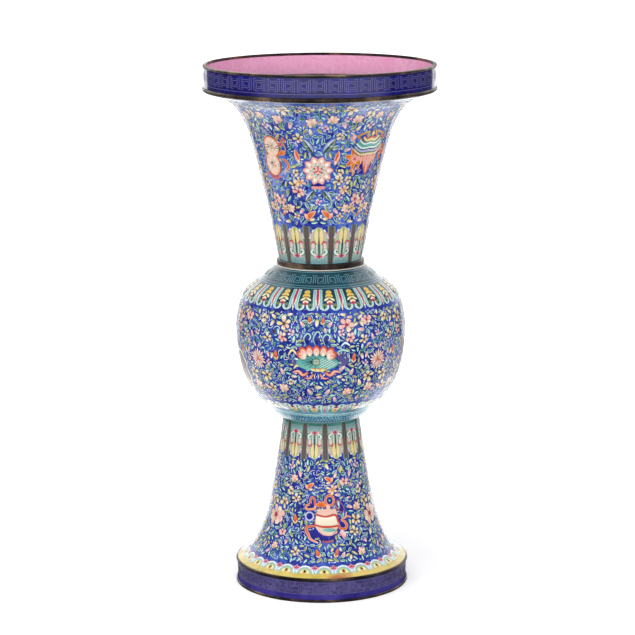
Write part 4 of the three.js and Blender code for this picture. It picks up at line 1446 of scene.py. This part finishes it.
def paintBands():
    for name, (shell, count, level, height, width) in bandFrets.items():
        field = Field(name, outline(shell, 64), "band_enamel")
        middle = field.up(level)
        row(field, fretMotif(width, height, 1.35, 0.5, "fretLilac", 0.3), count, 0, middle, alternate=True)
        for reach in (-0.72, 0.72, 0.86):
            ring(field, middle + height * reach, 0.42, "fretLilac", 0.35, parts=24)
        field.finish()
    collar = Field("collarPainting", outline(collarShell, 64), "collar_enamel")
    diamond = Motif()
    diamond.blade(2.1, 1.6, "tealDeep", at=(0, -1.05), sides=4, tone=(0.4, 0.8), lean=(1, 1), rise=0.08)
    for i, share in enumerate((0.3, 0.46, 0.62)):
        row(collar, diamond, 96, 1.9 * (i % 2), collar.run[-1] * share)
    for share, ink in ((0.16, "frost"), (0.21, "tealDeep"), (0.76, "leafAqua"), (0.84, "frost")):
        ring(collar, collar.run[-1] * share, 0.5, ink, 0.5, parts=24)
    collar.finish()


paintTrumpet(trumpetPainting)
paintBulb(bulbPainting)
paintFoot(footPainting)
paintBands()
print("painting made")


# Studio, in metres and watts
studio = dict(
    world=0.6, room=0.26, sweep=1.8, tableGlare=3.0, farGlare=0.99, frontGlare=1.4,
    floorNear=0.33, floorSides=0.1, floorRadius=14.0, aim=(0, 0, 0.25),
    lamps=[
        ("topLamp", (-0.5, -0.9, 2.6), (2.4, 2.4), 37.0, False),
        ("frontFill", (0.1, -2.5, 0.8), (1.8, 1.2), 18.0, False),
        ("leftGlare", (-0.95, 1.76, 0.86), (1.3, 1.2), 3.0, True),
        ("rightGlare", (0.95, 1.76, 0.86), (1.3, 1.2), 3.0, True),
    ],
)


def addWorld(values):
    scene.world = bpy.data.worlds.new("studio")
    sky = Finish("studio", scene.world)
    camera, glossy, through = sky.rays("Is Camera Ray", "Is Glossy Ray", "Is Transmission Ray")
    # reflections show the white backdrop behind the vase and a dimmer room in front of it
    way = sky.node("ShaderNodeTexCoord", {}, {}, "Generated")
    depth, height = sky.axes(way, "YZ")
    backdrop = sky.between(depth + height * 0.6, 0.6, 0.8, values["room"], values["sweep"])
    plain = values["world"]
    back = sky.tree.nodes["Background"]
    back.inputs["Color"].default_value = (1, 1, 1, 1)
    feed(sky.tree, back.inputs["Strength"], plain + (camera + through) * (1 - plain) + glossy
        * (backdrop - plain))


def addLamp(name, place, size, power, glare, aim):
    # a glare lamp shows in reflections only, the others light the vase and don't show
    data = bpy.data.lights.new(name, "AREA")
    data.shape = "RECTANGLE"
    data.size, data.size_y = size
    data.energy = power
    lamp = bpy.data.objects.new(name, data)
    lamp.location = place
    lamp.rotation_euler = (Vector(aim) - Vector(place)).to_track_quat("-Z", "Y").to_euler()
    lamp.visible_diffuse = not glare
    lamp.visible_glossy = glare
    lamp.visible_camera = False
    scene.collection.objects.link(lamp)


def addFloor(values):
    bm = bmesh.new()
    bmesh.ops.create_circle(bm, cap_ends=True, segments=96, radius=values["floorRadius"])
    mesh = bpy.data.meshes.new("floor")
    bm.to_mesh(mesh)
    bm.free()
    floor = bpy.data.objects.new("floor", mesh)
    scene.collection.objects.link(floor)
    ground = Finish("floorFinish")
    camera, glossy = ground.rays("Is Camera Ray", "Is Glossy Ray")
    reach = ground.node("ShaderNodeVectorMath", dict(operation="LENGTH"), {0: ground.place()}, 1)
    across, depth = ground.axes(ground.place(), "XY")
    aside = ground.node("ShaderNodeMath", dict(operation="ABSOLUTE"), {0: across})
    far = ground.between(reach, 0.2, 1.5, values["floorNear"], 1.0)
    # reflections show a bright table behind the vase, a white sweep beyond it, dark sides and a pale front
    behind = ground.between(depth, -0.05, 0.1, 0.0, 1.0)
    clear = ground.between(reach, 0.07, 0.13, 0.0, 1.0)
    table = ground.between(reach, 0.22, 0.6, values["tableGlare"], values["farGlare"])
    sweep = ground.between(aside - depth * 0.66, -0.04, 0.06, values["sweep"], values["floorSides"])
    front = ground.between(depth, -2.0, -1.2, values["frontGlare"], 0.0)
    edge = ground.between(reach, 0.84, 0.92, 1.0, 0.0)
    glow = camera * far + glossy * (behind * clear * (table * edge + sweep * (1 - edge)) + front)
    shade = ground.mix(glossy, (0.86, 0.86, 0.87, 1), (0.04, 0.04, 0.04, 1))  # the glow alone is mirrored
    mesh.materials.append(ground.surface(shade, 0.8, Emission_Color=(1, 1, 1, 1), Emission_Strength=glow,
        Specular_IOR_Level=0.0))


addWorld(studio)
for lamp in studio["lamps"]:
    addLamp(*lamp, studio["aim"])
addFloor(studio)
print("studio made")
